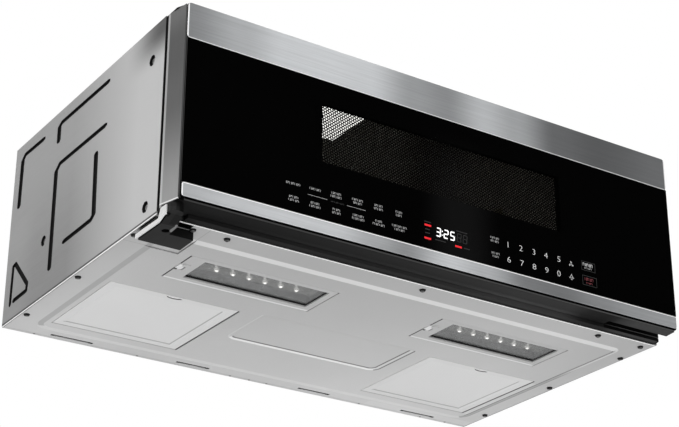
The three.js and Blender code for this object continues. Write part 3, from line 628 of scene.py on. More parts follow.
# Only the flange on the outer side of the hinge arm is bare steel. The rest is painted black, part black coat
# and part painted shade, and so is the flange's strip by the gap, as painted shade.
def shadeBracket(colour, have):
    x, y, z = axes()
    right, behind, above = bracket["strip"]
    strip = both(over(x, right), over(z, zAt(above)), over(y, yAt(behind)))
    bare = both(below(x, bracket["flange"]), otherwise(strip))
    colour = blend(bare, rgb("010101"), colour)
    return {"colour": colour, "rough": most(have["rough"], minus(0.7, bare))}


# The plate's hooks are painted black, as the shade in the base's slots.
def shadePlate(colour, have):
    x, y, z = axes()
    return layOver(colour, span(z, zAt(16), zAt(12)), "020202")


doorSide = {
    "low": (140, 0), "high": (215, 260), "dark": (170, 235), "skin": 0.3735, "edge": 10.2, "rise": 0.085,
    "line": (-0.0009, 0.0009), "gap": (-0.0009, -0.0015), "under": 5.6, "rear": (-10.2, -9.4),
}


# The door's painted metal side has a painted dark reflection in the middle, painted light that grows to the
# bottom, and a painted highlight along its rear edge.
def shadeDoorSide(colour, have):
    x, y, z = axes()
    low, high = (span(z, *map(zAt, doorSide[key])) for key in ("low", "high"))
    shade = calc("ADD", scaled(low, 0.42, 0.17), both(high, 0.06))
    shade = scaled(inBand(z, *map(zAt, doorSide["dark"]), 0.02), -0.035, shade)
    side = over(calc("ABSOLUTE", x), doorSide["skin"])
    colour = blend(side, colour, dim(colour, shade))
    # a painted highlight line and a painted shadow in the gap below it and under the door run along its lower
    # edge, which rises to the back
    above = minus(z, scaled(minus(y, yAt(0)), doorSide["rise"], zAt(doorSide["edge"])))
    colour = layOver(colour, both(side, inBand(above, *doorSide["line"], 0.0004)), "f0f0f0", 0.8)
    gap = most(span(above, *doorSide["gap"]), below(z, zAt(doorSide["under"])))
    colour = layOver(colour, gap, "030303")
    return layOver(colour, both(side, span(y, *map(yAt, doorSide["rear"]))), "d8d8d8", 0.45)


windowPrint = {"low": (-187, 0, 100.5), "high": (181, 0, 179), "tint": 0.25}


# The black print stops at the window, where the glass is only tinted, deeper in a band down the middle. A
# lighter band of painted reflection runs down the middle of the glass.
def openWindow(colour, have):
    x, y, z = axes()
    low, high = spot(*windowPrint["low"]), spot(*windowPrint["high"])
    clear = both(inBand(x, low.x, high.x), inBand(z, low.z, high.z))
    gleam = both(inBand(x, -0.02, 0.055, 0.03), span(z, zAt(200), zAt(110)))
    tint = scaled(inBand(x, -0.045, 0.030, 0.04), 0.3, windowPrint["tint"])
    return {"colour": layOver(colour, gleam, "121212"), "alpha": span(clear, 0.0, 1.0, 1.0, tint)}


screenHoles = {"pitch": 3.75, "radius": 1.25, "turn": 10}


# Holes show on the outer face of the screen, and its other faces are let through.
def pierceScreen(colour, have):
    x, y, z = axes()
    place = put("CombineXYZ", n0=z, n1=x).outputs[0]
    turn = math.radians(screenHoles["turn"])
    place = put("VectorRotate", {"rotation_type": "Z_AXIS"}, Vector=place, Angle=turn).outputs[0]
    hole = useGroup(holes, Place=place, Pitch=screenHoles["pitch"] * mm, Radius=screenHoles["radius"] * mm)
    return {"alpha": both(below(y, yAt(-35.4)), otherwise(hole["Mask"]))}


# tones of the painted reflection bands along the upper and the lower strip, from left end to right end
topBands = [(0.0, 0.45), (0.10, 0.81), (0.18, 1.14), (0.26, 1.18), (0.34, 1.15), (0.43, 0.64), (0.50, 0.52),
            (0.58, 0.97), (0.65, 0.73), (0.74, 0.27), (0.84, 0.21), (1.0, 0.30)]
bottomBands = [(0.0, 0.78), (0.10, 1.0), (0.19, 1.05), (0.27, 1.05), (0.35, 0.73), (0.41, 0.52), (0.50, 1.09),
               (0.57, 0.84), (0.66, 0.37), (0.74, 0.33), (0.82, 0.46), (0.90, 0.57), (1.0, 0.64)]


stripEdges = {"left": (0.0016, 0.0010), "right": (0.0022, 0.0016), "upper": (0.0021, 0.0014),
              "lower": (0.0012, 0.0007)}


# Painted reflections lie as soft bands of light along each polished strip. Its left end and the edge at the
# glass have painted highlights, and so does the right end of the upper strip.
def bandStrip(stops, brightEdge):
    def tweak(colour, have):
        x, y, z = axes()
        low, high = have["box"]
        ramp = toneRamp(slope(x, low.x, high.x), [(place, tone / 1.2) for place, tone in stops])
        ramp.color_ramp.interpolation = "EASE"
        colour = dim(vector("MULTIPLY", colour, ramp.outputs[0]), 1.35)
        left = nearLow(x, low.x, *stripEdges["left"])
        if brightEdge == "upper":
            colour = layOver(colour, nearHigh(z, high.z, *stripEdges["upper"]), "ffffff", 0.95)
            return layOver(colour, left, "ffffff", 0.8)
        colour = layOver(colour, nearLow(z, low.z, *stripEdges["lower"]), "ffffff", 0.7)
        colour = layOver(colour, left, "ffffff", 0.95)
        return layOver(colour, nearHigh(x, high.x, *stripEdges["right"]), "e8e8e8", 0.8)
    return tweak


ledRow = {
    "pitch": 23.0, "y": 114.0, "middle": 191.6, "apart": 370, "count": 6, "tone": (1.0, 0.99, 0.96),
    "halo": (0.0050, 0.0014), "streak": (0.0024, 0.0012), "streakLong": 0.0125, "lean": 0.66,
    "streakShare": 0.55,
}


# Each lamp's board has a painted glow round its six diodes, and a weak painted streak of light runs from each
# of them to the front.
def glowBoard(colour, have):
    x, y, z = axes()
    centre = (ledRow["middle"] - (ledRow["apart"] if have["box"][0].x < 0 else 0)) * mm
    ahead, pitch = minus(yAt(ledRow["y"]), y), ledRow["pitch"] * mm
    glows = []
    for lean in (0.0, ledRow["lean"]):
        row = calc("DIVIDE", scaled(ahead, lean, minus(x, centre)), pitch)
        off = both(minus(calc("FRACT", row), 0.5), pitch)
        within = below(calc("ABSOLUTE", row), ledRow["count"] / 2)
        if lean:
            streak = span(calc("ABSOLUTE", off), *ledRow["streak"])
            streak = both(streak, inBand(ahead, 0.0, ledRow["streakLong"], 0.001))
            glows.append(both(streak, within, ledRow["streakShare"]))
        else:
            away = calc("SQRT", calc("ADD", both(off, off), both(ahead, ahead, 1.6)))
            glows.append(both(span(away, *ledRow["halo"]), within))
    return {"glow": dim(ledRow["tone"], most(*glows)), "strength": 1.0}


# The cavity lamp's cover sends its light down only.
def glowDown(colour, have):
    facing = apart(put("NewGeometry").outputs["Normal"])[2]
    return {"glow": dim(rgb("fffefa")[:3], below(facing, -0.3)), "strength": 2.4}


cavity = {"low": (-275.6, -5, 61.5), "high": (215.6, 318.6, 222.6), "vents": ((190, 290), (130, 200))}


# Vent holes in the cavity's side walls by the magnetron and the lamp are painted dark as their shade, and its
# inside has a faint painted glow.
def ventCavity(colour, have):
    x, y, z = axes()
    place = put("CombineXYZ", n0=y, n1=z).outputs[0]
    hole = useGroup(holes, Place=place, Pitch=0.006, Radius=0.0019)["Mask"]
    (y0, y1), (z0, z1) = cavity["vents"]
    zone = both(inBand(y, yAt(y0), yAt(y1)), inBand(z, zAt(z0), zAt(z1)))
    side = over(calc("ABSOLUTE", calc("ADD", x, 0.030)), 0.2435)
    colour = blend(both(hole, zone, side), colour, rgb("161616"))
    low, high = spot(*cavity["low"]), spot(*cavity["high"])
    room = both(*[inBand(v, low[i], high[i], 0.0002) for i, v in enumerate((x, y, z))])
    return {"colour": colour, "glow": dim(rgb("2c2a27")[:3], room), "strength": 0.6}


lensEdgeShade = {"back": (0.0088, 0.0068), "right": (0.0050, 0.0038), "stipple": 260.0, "clear": (0.30, 0.50)}


# The lens is stippled inside, and a dark border of painted shade lies along its back and right edges.
def shadeLensEdges(colour, have):
    x, y, z = axes()
    low, high = have["box"]
    dark = most(nearHigh(y, high.y, *lensEdgeShade["back"]), nearHigh(x, high.x, *lensEdgeShade["right"]))
    stipple = useGroup(mottle, Scale=lensEdgeShade["stipple"], Contrast=1.6)["Tone"]
    clear = span(stipple, 0.0, 1.0, *lensEdgeShade["clear"])
    colour = layOver(colour, dark, "020202")
    return {"colour": colour, "rough": most(have["rough"], dark), "alpha": most(clear, dark)}


filterFace = {
    "border": 0.0125, "strands": 2200.0, "tabY": (203.5, 213.5), "tabHalf": 0.0125,
    "rear": (0.0020, 0.0012), "right": (0.0024, 0.0018),
}


# Aluminium strands cross in the filter, inside the frame's border. Its creases and rear edge have dark lines
# of painted shade, its right edge a black painted shadow, and the inside of its pull notch is painted white
# against the shade there, with a dark edge of painted shade.
def weaveFilter(colour, have):
    x, y, z = axes()
    low, high = have["box"]
    border, middle, tab = filterFace["border"], (low.x + high.x) / 2, filterFace["tabHalf"]
    inside = both(inBand(x, low.x + border, high.x - border), inBand(y, low.y + border, high.y - border))
    waves = [calc("SINE", both(calc(kind, x, y), filterFace["strands"])) for kind in ("ADD", "SUBTRACT")]
    tall = both(most(*waves), inside)
    colour = dim(colour, span(tall, -0.6, 1.0, 0.94, 1.02))
    rearCreaseShade = both(inBand(y, high.y - 0.0144, high.y - 0.0122, 0.0006),
                      inBand(x, low.x + 0.010, high.x - 0.0160, 0.001))
    rightCreaseShade = both(inBand(x, high.x - 0.0180, high.x - 0.0158, 0.0006),
                       inBand(y, low.y + 0.013, high.y - 0.0125, 0.001))
    colour = layOver(colour, most(rearCreaseShade, rightCreaseShade), "989898", 0.75)
    colour = layOver(colour, nearHigh(y, high.y, *filterFace["rear"]), "6c6c6c", 0.6)
    colour = layOver(colour, nearHigh(x, high.x, *filterFace["right"]), "0a0a0a", 0.97)
    pull = inBand(y, *map(yAt, filterFace["tabY"]), 0.0002)
    pull = both(pull, inBand(x, middle - tab, middle + tab, 0.0002))
    colour = layOver(colour, both(pull, over(z, low.z + 0.0001)), "ffffff")
    edge = both(pull, inBand(z, low.z + 0.0001, low.z + 0.0014, 0.00005))
    return {"colour": layOver(colour, edge, "505050", 0.9), "height": tall}


# Granules of carbon in an open net.
def packCarbon(colour, have):
    cells = put("TexVoronoi", {"feature": "F1"}, Vector=here(), Scale=350.0).outputs[0]
    return {"height": otherwise(cells), "colour": blend(span(cells, 0.1, 0.6), colour, rgb("050505"))}


# Solder lands and copper runs under the green mask.
def traceBoard(colour, have):
    x, y, z = axes()
    place = put("CombineXYZ", n0=x, n1=z).outputs[0]
    bricks = put("TexBrick", None, Vector=place, Scale=90.0).outputs[1]
    land = useGroup(holes, Place=place, Pitch=0.0051, Radius=0.0009)["Mask"]
    return layOver(layOver(colour, bricks, "5c7d4c", 0.5), land, "b9b7a8", 0.8)


looks = {
    "case_wrapper": look("bababa", "c2c2c2", 0.36, 0.48, "case_wrapper", metal=0.2, stretch=(900, 30, 700),
                         grain=0.02, cloud=0.7, bump=0.03, dust=0.0),
    "base": look("c0c0c0", "c8c8c8", 0.4, 0.52, "base_panel lamp_frame_left lamp_frame_right", metal=0.12,
                 pebble=1100.0, grain=0.02, bump=0.04, specular=0.12, dust=0.0),
    "zinc": look("babbbd", "cccdcd", 0.38, 0.52, "back_panel wall_plate waveguide blower_housing"
                 " lamp_housing_left lamp_housing_right exhaust_adapter", metal=0.6, mottle=55.0, cloud=2.2,
                 bump=0.03, pebble=700.0, grain=0.04, wear="e4e4e4"),
    "darkSteel": look("131313", "1a1a1a", 0.5, 0.65, "front_plate door_frame upper_hinge_bracket",
                      pebble=1300.0, grain=0.1, bump=0.08, specular=0.2, dust=0.0),
    "enamel": look("c2c0ba", "d0cec8", 0.3, 0.42, "oven_cavity", pebble=600.0, grain=0.06, bump=0.06,
                   coat=0.2, wear="dddbd6"),
    "lampGlass": look("f4f4f0", "fafaf8", 0.4, 0.5, "cavity_lamp_cover", mottle=14.0, cloud=0.6, bump=0.0,
                      dust=0.0),
    "mica": look("b39f78", "d2c5a2", 0.5, 0.65, "mica_cover", mottle=60.0, cloud=2.5, pebble=300.0,
                 grain=0.08),
    "fins": look("a6a29b", "bcb9b2", 0.3, 0.45, "magnetron", metal=0.9, stretch=(700, 700, 40), grain=0.1),
    "iron": look("4d4139", "6a5a4c", 0.5, 0.7, "hv_transformer", metal=0.4, stretch=(60, 60, 1400), bump=0.3),
    "can": look("b8b8b6", "c8c8c8", 0.25, 0.35, "hv_capacitor", metal=0.9, stretch=(60, 900, 900),
                grain=0.08),
    "blackPlastic": look("141414", "1a1a1a", 0.5, 0.65, "cooling_fan_shroud blower_rotor exhaust_louvre"
                         " cord_gland lower_hinge_cover door_inner_panel", pebble=1500.0, grain=0.12,
                         bump=0.1, specular=0.2, dust=0.0),
    "railPlastic": look("141414", "1a1a1a", 0.5, 0.65, "door_bottom_rail", pebble=1500.0, grain=0.12,
                        bump=0.1, specular=0.08, dust=0.0),
    "whitePlastic": look("dedbd2", "eae7df", 0.4, 0.5, "cavity_lamp cooling_fan turntable_coupler roller_ring"
                         " roller_1 roller_2 roller_3 interlock_block latch_bar", pebble=1200.0, grain=0.03,
                         wear="f2f0ea"),
    "motor": look("8a8781", "a2a09a", 0.3, 0.45, "cooling_fan_motor blower_motor turntable_motor", metal=0.85,
                  stretch=(200, 200, 900), grain=0.1),
    "carbon": look("1b1b1b", "2a2a2a", 0.7, 0.9, "charcoal_filter", bump=0.9, dust=0.0),
    "trayGlass": look("cfdad8", "e2eceb", 0.04, 0.09, "glass_tray", coat=0.3, alpha=0.42, dust=0.01),
    "lens": look("848585", "a2a3a3", 0.2, 0.3, "lamp_lens_left lamp_lens_right", mottle=70.0, cloud=2.0,
                 specular=0.25, dust=0.0),
    "board": look("20391f", "2f5030", 0.3, 0.45, "control_board", coat=0.2, dust=0.01),
    "ledBoard": look("9a9a98", "b4b4b0", 0.35, 0.5, "lamp_board_left lamp_board_right", pebble=900.0,
                     grain=0.08),
    "filter": look("e4e4e4", "eaeaea", 0.4, 0.55, "grease_filter_left grease_filter_right", metal=0.1,
                   bump=0.15, dust=0.0),
    "damper": look("9d9d9c", "b0b0ae", 0.3, 0.4, "damper_flap", metal=0.8, stretch=(40, 900, 900), grain=0.1),
    "hingeSteel": look("dadada", "e8e8e8", 0.3, 0.42, "lower_hinge_bracket lower_hinge_pin upper_hinge_pin",
                       metal=0.2, stretch=(500, 60, 900), grain=0.05, wear="f4f4f4", wearWidth=0.9,
                       wearShare=0.8, specular=0.12),
    "glass": look("020202", "040404", 0.03, 0.06, "door_glass", dust=0.0, specular=0.25, mottle=3.0),
    "stainless": look("b6b8ba", "bcbec0", 0.3, 0.42, "top_trim bottom_trim", metal=0.1, cloud=0.6, bump=0.03,
                      stretch=(16, 700, 1500), grain=0.07, dust=0.0),
    "doorPaint": look("b8b8b8", "c0c0c0", 0.34, 0.46, "door_shell", metal=0.2, stretch=(900, 900, 30),
                      grain=0.03, dust=0.0),
    "screen": look("050504", "090807", 0.5, 0.65, "window_screen", specular=0.15, dust=0.0),
    "film": look("0c0c0b", "121211", 0.06, 0.1, "inner_window", alpha=0.12, dust=0.0),
    "display": look("070707", "0c0c0c", 0.12, 0.2, "display_module", dust=0.0),
    "wire": look("a6a9ab", "c2c5c7", 0.22, 0.35, "latch_spring", metal=0.95, stretch=(900, 900, 900),
                 grain=0.1),
}

tweaks = {
    "case_wrapper": shadeWrapper, "base_panel": shadeBase, "wall_plate": shadePlate,
    "front_plate": fadeAcross, "oven_cavity": ventCavity, "cavity_lamp_cover": glowDown,
    "lower_hinge_cover": shadeCover, "lower_hinge_bracket": shadeBracket, "door_bottom_rail": shadeRail,
    "door_glass": openWindow, "door_shell": shadeDoorSide, "window_screen": pierceScreen,
    "charcoal_filter": packCarbon, "control_board": traceBoard,
    "top_trim": bandStrip(topBands, "lower"), "bottom_trim": bandStrip(bottomBands, "upper"),
}
pairs = {"lamp_frame_": rimLamp, "lamp_lens_": shadeLensEdges, "lamp_board_": glowBoard,
         "grease_filter_": weaveFilter}
for pair, tweak in pairs.items():
    tweaks[pair + "left"] = tweaks[pair + "right"] = tweak


def dressNodes():
    lookOf = {node: name for name, style in looks.items() for node in style["on"].split()}
    for name, node in nodes.items():
        style = looks[lookOf[name]]
        finish = makeFinish(lookOf[name] + "." + name, style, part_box(name), tweaks.get(name))
        node.data.materials.clear()
        node.data.materials.append(finish)


def addPiece(bm, name, body, finish, sharp=35):
    bmesh.ops.recalc_face_normals(bm, faces=bm.faces[:])
    mesh = meshFrom(bm, name)
    mesh.shade_smooth()
    mesh.set_sharp_from_angle(angle=math.radians(sharp))
    mesh.materials.append(finish)
    piece = linked(name, mesh)
    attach(piece, body)
    return piece


def moveBy(bm, way, verts=None):
    bmesh.ops.translate(bm, vec=way, verts=verts or bm.verts[:])


def turnBy(bm, angle, axis, verts=None):
    bmesh.ops.rotate(bm, cent=zero, matrix=Matrix.Rotation(angle, 3, axis), verts=verts or bm.verts[:])


# From the drawing's millimetres to the frame's metres.
def toFrame(bm):
    moveBy(bm, (0, -frameStart["y"], -frameStart["z"]))
    bmesh.ops.scale(bm, vec=(mm, mm, mm), verts=bm.verts[:])
    return bm


def roundBevel(bm, edges, offset, segments):
    bmesh.ops.bevel(bm, geom=edges, offset=offset, segments=segments, profile=0.5, affect="EDGES",
                    material=-1)


# A turned solid: points of (radius, height) spun round Z.
def turned(points, steps):
    bm = bmesh.new()
    chain = [bm.verts.new((r, 0, h)) for r, h in points]
    edges = [bm.edges.new(pair) for pair in zip(chain, chain[1:])]
    bmesh.ops.spin(bm, geom=chain + edges, axis=(0, 0, 1), cent=zero, dvec=zero, angle=2 * math.pi,
                   steps=steps, use_merge=True)
    bmesh.ops.remove_doubles(bm, verts=bm.verts[:], dist=1e-6)
    bmesh.ops.recalc_face_normals(bm, faces=bm.faces[:])
    return bm


# The same, turned to point down and set at a place in the drawing.
def hung(points, steps, place):
    bm = turned(points, steps)
    turnBy(bm, math.pi, "X")
    moveBy(bm, place)
    return toFrame(bm)


def block(bm, low, high):
    made = bmesh.ops.create_cube(bm, size=1.0)["verts"]
    bmesh.ops.scale(bm, vec=[b - a for a, b in zip(low, high)], verts=made)
    moveBy(bm, [(a + b) / 2 for a, b in zip(low, high)], made)
    return made


screw = {
    "radius": 4.4, "height": 1.7, "cross": 5.0, "crossWidth": 1.1, "crossDepth": 1.2, "steps": 28,
    # share of the radius and of the height, from the middle of the top to the rim
    "head": [(0.45, 0.98), (0.75, 0.84), (0.94, 0.5), (1, 0.2), (1, 0), (0.5, 0)],
    # the black ring of painted shade round each base screw, as radius and height in millimetres
    "shadowRing": [(0, 2.2), (2.9, 2.2), (3.5, 1.9), (3.8, 0.7), (4.1, 0.4), (4.1, 0), (0, 0)],
    "base": [(-372.5, 216), (-372.3, 366.8), (-374, 64.5), (-324.6, 13.9), (-278.3, 15.4), (2.2, 15.1),
             (288.4, 14.6), (364.3, 15.8), (372.4, 65), (371, 214.4), (370.4, 364.7)],
    "side": [(31, 213.6), (29.7, 20.4), (315, 82.5)],
}


# One pan head with a cross recess, drawn at the origin and pointing up Z, in millimetres.
def screwMesh():
    r, h = screw["radius"], screw["height"]
    outline = [(0, h)] + [(r * across, h * up) for across, up in screw["head"]] + [(0, 0)]
    blank = linked("screwBlank", meshFrom(turned(outline, screw["steps"]), "screwBlank"))
    bm = bmesh.new()
    length, width, deep = screw["cross"] / 2, screw["crossWidth"] / 2, h - screw["crossDepth"]
    block(bm, (-length, -width, deep), (length, width, h + 1))
    cutMesh = meshFrom(bm, "crossCut")
    cutters = []
    for angle in (0, quarterTurn):
        cutter = linked("crossCut", cutMesh.copy())
        cutter.data.transform(Matrix.Rotation(angle, 4, "Z"))
        cutters.append(cutter)
        cut = blank.modifiers.new("cut", "BOOLEAN")
        cut.operation, cut.object, cut.solver = "DIFFERENCE", cutter, "EXACT"
    bpy.context.view_layer.update()
    made = bpy.data.meshes.new_from_object(blank.evaluated_get(bpy.context.evaluated_depsgraph_get()))
    for gone in cutters + [blank]:
        bpy.data.objects.remove(gone)
    return made


def addScrew(template, name, place, facing, turn, size, finish):
    bm = bmesh.new()
    bm.from_mesh(template)
    aim = Vector(facing).to_track_quat("Z", "Y").to_matrix().to_4x4()
    matrix = Matrix.Translation(place) @ aim @ Matrix.Rotation(math.radians(turn), 4, "Z")
    bmesh.ops.transform(bm, matrix=matrix @ Matrix.Scale(mm * size, 4), verts=bm.verts[:])
    addPiece(bm, name, "case", finish, 30)


def makeScrews():
    template = screwMesh()
    darkHead = makeFinish("screwDark", look("4c4c4c", "6a6a6a", 0.3, 0.45, metal=0.6, pebble=900.0, bump=0.1))
    paleHead = makeFinish("screwPale", look("8a8a8a", "a8a8a8", 0.3, 0.4, metal=0.6, pebble=900.0, bump=0.1))
    shadowRingLook = look("060606", "0a0a0a", 0.5, 0.6, pebble=900.0, bump=0.1, dust=0.0, specular=0.2)
    shadowRingPaint = makeFinish("screwShadowRing", shadowRingLook)
    for index, (x, y) in enumerate(screw["base"]):
        size = 0.62 * (1.0 if y < 30 else 0.72)  # those in the front row look larger
        place, turn = spot(x, y, -2.1), 20 + 37 * index
        addScrew(template, "base_screw_%d" % (index + 1), place, (0, 0, -1), turn, size, darkHead)
        # a black ring of painted shade round each base screw
        shadowRing = hung(screw["shadowRing"], screw["steps"], (x, y, -0.02))
        addPiece(shadowRing, "base_screw_shadow_%d" % (index + 1), "case", shadowRingPaint, 30)
    for index, (y, z) in enumerate(screw["side"]):
        for side, label in ((-1, "left"), (1, "right")):
            name, place = "side_screw_%s_%d" % (label, index + 1), spot(side * 376.3, y, z)
            addScrew(template, name, place, (side, 0, 0), 12 + 41 * index, 0.9, paleHead)


printing = {"front": -46.0, "deep": 0.03, "digit": 8.2, "capShare": 0.72, "thin": -0.19, "widen": 1.18}


# Print lies on the glass as a thin layer: bars, rings and figures in the XZ plane.
def printBar(bm, x, z, wide, tall):
    front, back = printing["front"] - printing["deep"], printing["front"]
    return block(bm, (x - wide / 2, front, z - tall / 2), (x + wide / 2, back, z + tall / 2))


# A flat shape with rounded or straight sides: circle, oval, triangle or, with a line width, its outline.
def printShape(bm, x, z, wide, tall, steps=20, turn=0.0, line=None):
    made = bmesh.ops.create_circle(bm, cap_ends=True, segments=steps, radius=0.5)["verts"]
    bmesh.ops.scale(bm, vec=(wide, tall, 1), verts=made)
    turnBy(bm, turn, "Z", made)
    turnBy(bm, quarterTurn, "X", made)
    moveBy(bm, (x, printing["front"], z), made)
    faces = [f for f in bm.faces if all(v in made for v in f.verts)]
    if line:
        bm.normal_update()
        rim = bmesh.ops.inset_region(bm, faces=faces, thickness=line, depth=0, use_boundary=True,
                                     use_even_offset=True)["faces"]
        bmesh.ops.delete(bm, geom=faces, context="FACES")
        faces = rim
    grown = bmesh.ops.extrude_face_region(bm, geom=faces, use_keep_orig=True)["geom"]
    moveBy(bm, (0, -printing["deep"], 0), [g for g in grown if isinstance(g, bmesh.types.BMVert)])


def printFrame(bm, x0, x1, z0, z1, line):
    for z in (z0 + line / 2, z1 - line / 2):
        printBar(bm, (x0 + x1) / 2, z, x1 - x0, line)
    for x in (x0 + line / 2, x1 - line / 2):
        printBar(bm, x, (z0 + z1) / 2, line, z1 - z0 - 2 * line)


def finishPrint(bm, name, finish, sharp=35):
    addPiece(toFrame(bm), name, "door", finish, sharp)


def printFigures(name, entries, finish):
    bm = bmesh.new()
    for text, x, z in entries:
        data = bpy.data.curves.new("figure", "FONT")
        data.body, data.size = text, printing["digit"] / printing["capShare"]
        data.extrude, data.offset, data.resolution_u = printing["deep"] / 2, printing["thin"], 3
        data.align_x, data.align_y = "CENTER", "CENTER"
        carrier = linked("figure", data)
        bpy.context.view_layer.update()
        mesh = bpy.data.meshes.new_from_object(carrier)
        upright = Matrix.Rotation(quarterTurn, 4, "X") @ Matrix.Diagonal((printing["widen"], 1, 1, 1))
        mesh.transform(Matrix.Translation((x, printing["front"] - printing["deep"] / 2, z)) @ upright)
        bm.from_mesh(mesh)
        bpy.data.objects.remove(carrier)
        bpy.data.meshes.remove(mesh)
    bmesh.ops.remove_doubles(bm, verts=bm.verts[:], dist=1e-4)
    finishPrint(bm, name, finish, 30)


keypad = {
    "figures": [("1", 91.6, 60.4), ("2", 112.4, 60.4), ("3", 133.5, 60.4), ("4", 153.1, 60.4),
                ("5", 174.5, 60.4), ("6", 92.3, 40.2), ("7", 113.1, 40.2), ("8", 133.2, 40.2),
                ("9", 153.6, 40.2), ("0", 173.3, 40.2)],
    "labels": [(-226.5, 61, (21,)), (-196, 61.5, (17,)), (-166.5, 61.5, (15, 17)), (-136, 61, (17, 13)),
               (-105.6, 61.3, (13, 14)), (-75.7, 60.4, (11, 10)), (71, 62.6, (15, 14)),
               (-225.5, 41.8, (14, 16)), (-196, 41.2, (13, 17)), (-166, 40.6, (12, 13)),
               (-135, 40.6, (17, 19)), (-105.5, 40.9, (11, 19)), (-75, 41.5, (23, 16)), (71.7, 42, (14, 11))],
    "rules": [(-192.8, 52.6, 27, 0.42), (-138, 52.2, 27, 0.42)],
    "note": (-164.5, 52.0, (20,), 1.6),
    "fan": (194.6, 58.6),
    "bulb": (194.3, 41.4),
    "start": (212.3, 235.3, 55.5, 68.2),
    "stop": (212.8, 236.8, 35.0, 48.3),
    "line": 0.55,
}


# A legend is one or two rows of short marks, of the width that a word would have.
def printLegend(bm, x, z, lines, tall=2.7, pitch=4.3):
    for row, wide in enumerate(lines):
        height = z + (len(lines) - 1) * pitch / 2 - row * pitch
        count = max(3, round(wide / 2.3))
        step = wide / count
        for index in range(count):
            left = x - wide / 2 + step * (index + 0.5)
            shape = (index * 5 + row * 3 + count) % 3
            printBar(bm, left - step * 0.26, height, step * 0.22, tall)
            if shape != 1:
                level = height + tall * (0.38 if shape else -0.38)
                printBar(bm, left + step * 0.06, level, step * 0.42, tall * 0.24)
            if shape == 0:
                printBar(bm, left + step * 0.2, height + tall * 0.13, step * 0.2, tall * 0.74)


def printFan(bm, x, z):
    printShape(bm, x, z, 1.8, 1.8)
    for angle in (90, 210, 330):
        turn = math.radians(angle)
        printShape(bm, x + 2.7 * math.cos(turn), z + 2.7 * math.sin(turn), 3.4, 2.2, 16, turn + 0.7)


def printBulb(bm, x, z):
    printShape(bm, x, z - 0.4, 8.0, 8.6, 3, 0, 1.0)
    for side in (-3.3, 3.3):
        printShape(bm, x + side, z - 1.7, 1.5, 1.5, 12)
    printBar(bm, x, z - 4.0, 3.0, 1.1)


def makeKeypad(ink, paleInk, redInk, dimInk):
    printFigures("key_figures", keypad["figures"], ink)
    white, bright, dark, red = bmesh.new(), bmesh.new(), bmesh.new(), bmesh.new()
    for label in keypad["labels"]:
        printLegend(white, *label)
    for rule in keypad["rules"]:
        printBar(white, *rule)
    printFan(white, *keypad["fan"])
    printBulb(white, *keypad["bulb"])
    printLegend(dark, *keypad["note"])
    for key in ("start", "stop"):
        printFrame(dark, *keypad[key], keypad["line"])
    x0, x1, low, high = keypad["start"]
    printLegend(bright, (x0 + x1) / 2 - 0.5, high - 4.4, (18,), 4.2)
    printLegend(white, (x0 + x1) / 2, low + 3.6, (14,), 2.2)
    x0, x1, low, high = keypad["stop"]
    printLegend(red, (x0 + x1) / 2 - 0.5, high - 4.6, (16,), 4.0)
    printLegend(red, (x0 + x1) / 2, low + 3.4, (12,), 2.0)
    finishPrint(white, "key_legends", paleInk)
    finishPrint(bright, "key_start", ink)
    finishPrint(dark, "key_outlines", dimInk)
    finishPrint(red, "key_stop", redInk)


clock = {
    "shows": [(-16.9, "3"), (-5.4, "2"), (4.4, "5")], "unlit": [14.6, 23.8], "colon": -11.3, "z": 51.0,
    "wide": 5.7, "tall": 10.6, "thick": 1.6, "unlitThick": 1.12, "lean": 0.10, "dot": 1.5, "dotsApart": 2.6,
    "redMarks": [(-32.9, 56.4, 10.0, 2.5), (-33.4, 38.9, 10.0, 2.5), (13.2, 38.9, 10.0, 2.5)],
    "dimMarks": [(-33, 60.8, 10, 1.1), (-33.5, 50.9, 7, 1.3), (-33.6, 46.0, 7, 1.3), (-14, 40.2, 16, 1.2),
                 (19, 59.8, 17, 1.2), (26, 39.0, 9, 1.4)],
}
segments = {"2": "abged", "3": "abgcd", "5": "afgcd", "8": "abcdefg"}
# sideways and up from a figure's middle, in half widths and quarter heights, and whether the bar is upright
segmentPlaces = {
    "a": (0, 2, False), "g": (0, 0, False), "d": (0, -2, False), "f": (-1, 1, True), "b": (1, 1, True),
    "e": (-1, -1, True), "c": (1, -1, True),
}


def printSegments(bm, x, figure, thick):
    wide, tall = clock["wide"], clock["tall"]
    for key in segments[figure]:
        across, up, upright = segmentPlaces[key]
        dx, dz = across * wide / 2, up * (tall / 4)
        made = printBar(bm, 0, 0, (tall / 2 if upright else wide) - thick * 0.25, thick)
        if upright:
            turnBy(bm, quarterTurn, "Y", made)
        moveBy(bm, (x + dx + dz * clock["lean"], 0, clock["z"] + dz), made)


def makeClock(whiteGlow, redGlow, unlit):
    lit, dark, marks = bmesh.new(), bmesh.new(), bmesh.new()
    for x, figure in clock["shows"]:
        printSegments(lit, x, figure, clock["thick"])
    for dz in (-clock["dotsApart"], clock["dotsApart"]):
        printBar(lit, clock["colon"] + dz * clock["lean"], clock["z"] + dz, clock["dot"], clock["dot"])
    finishPrint(lit, "clock_figures", whiteGlow)
    for x in clock["unlit"]:
        printSegments(dark, x, "8", clock["unlitThick"])
    for mark in clock["dimMarks"]:
        printBar(dark, *mark)
    finishPrint(dark, "clock_unlit", unlit)
    for mark in clock["redMarks"]:
        printBar(marks, *mark)
    finishPrint(marks, "clock_marks", redGlow)


lampMiddles = {"left": -185, "right": 185}
diode = {"radius": 2.0, "height": 1.25, "top": 4.08, "aside": 6.6,
         "dome": [(0.4, 0.93), (0.75, 0.66), (0.95, 0.3)]}


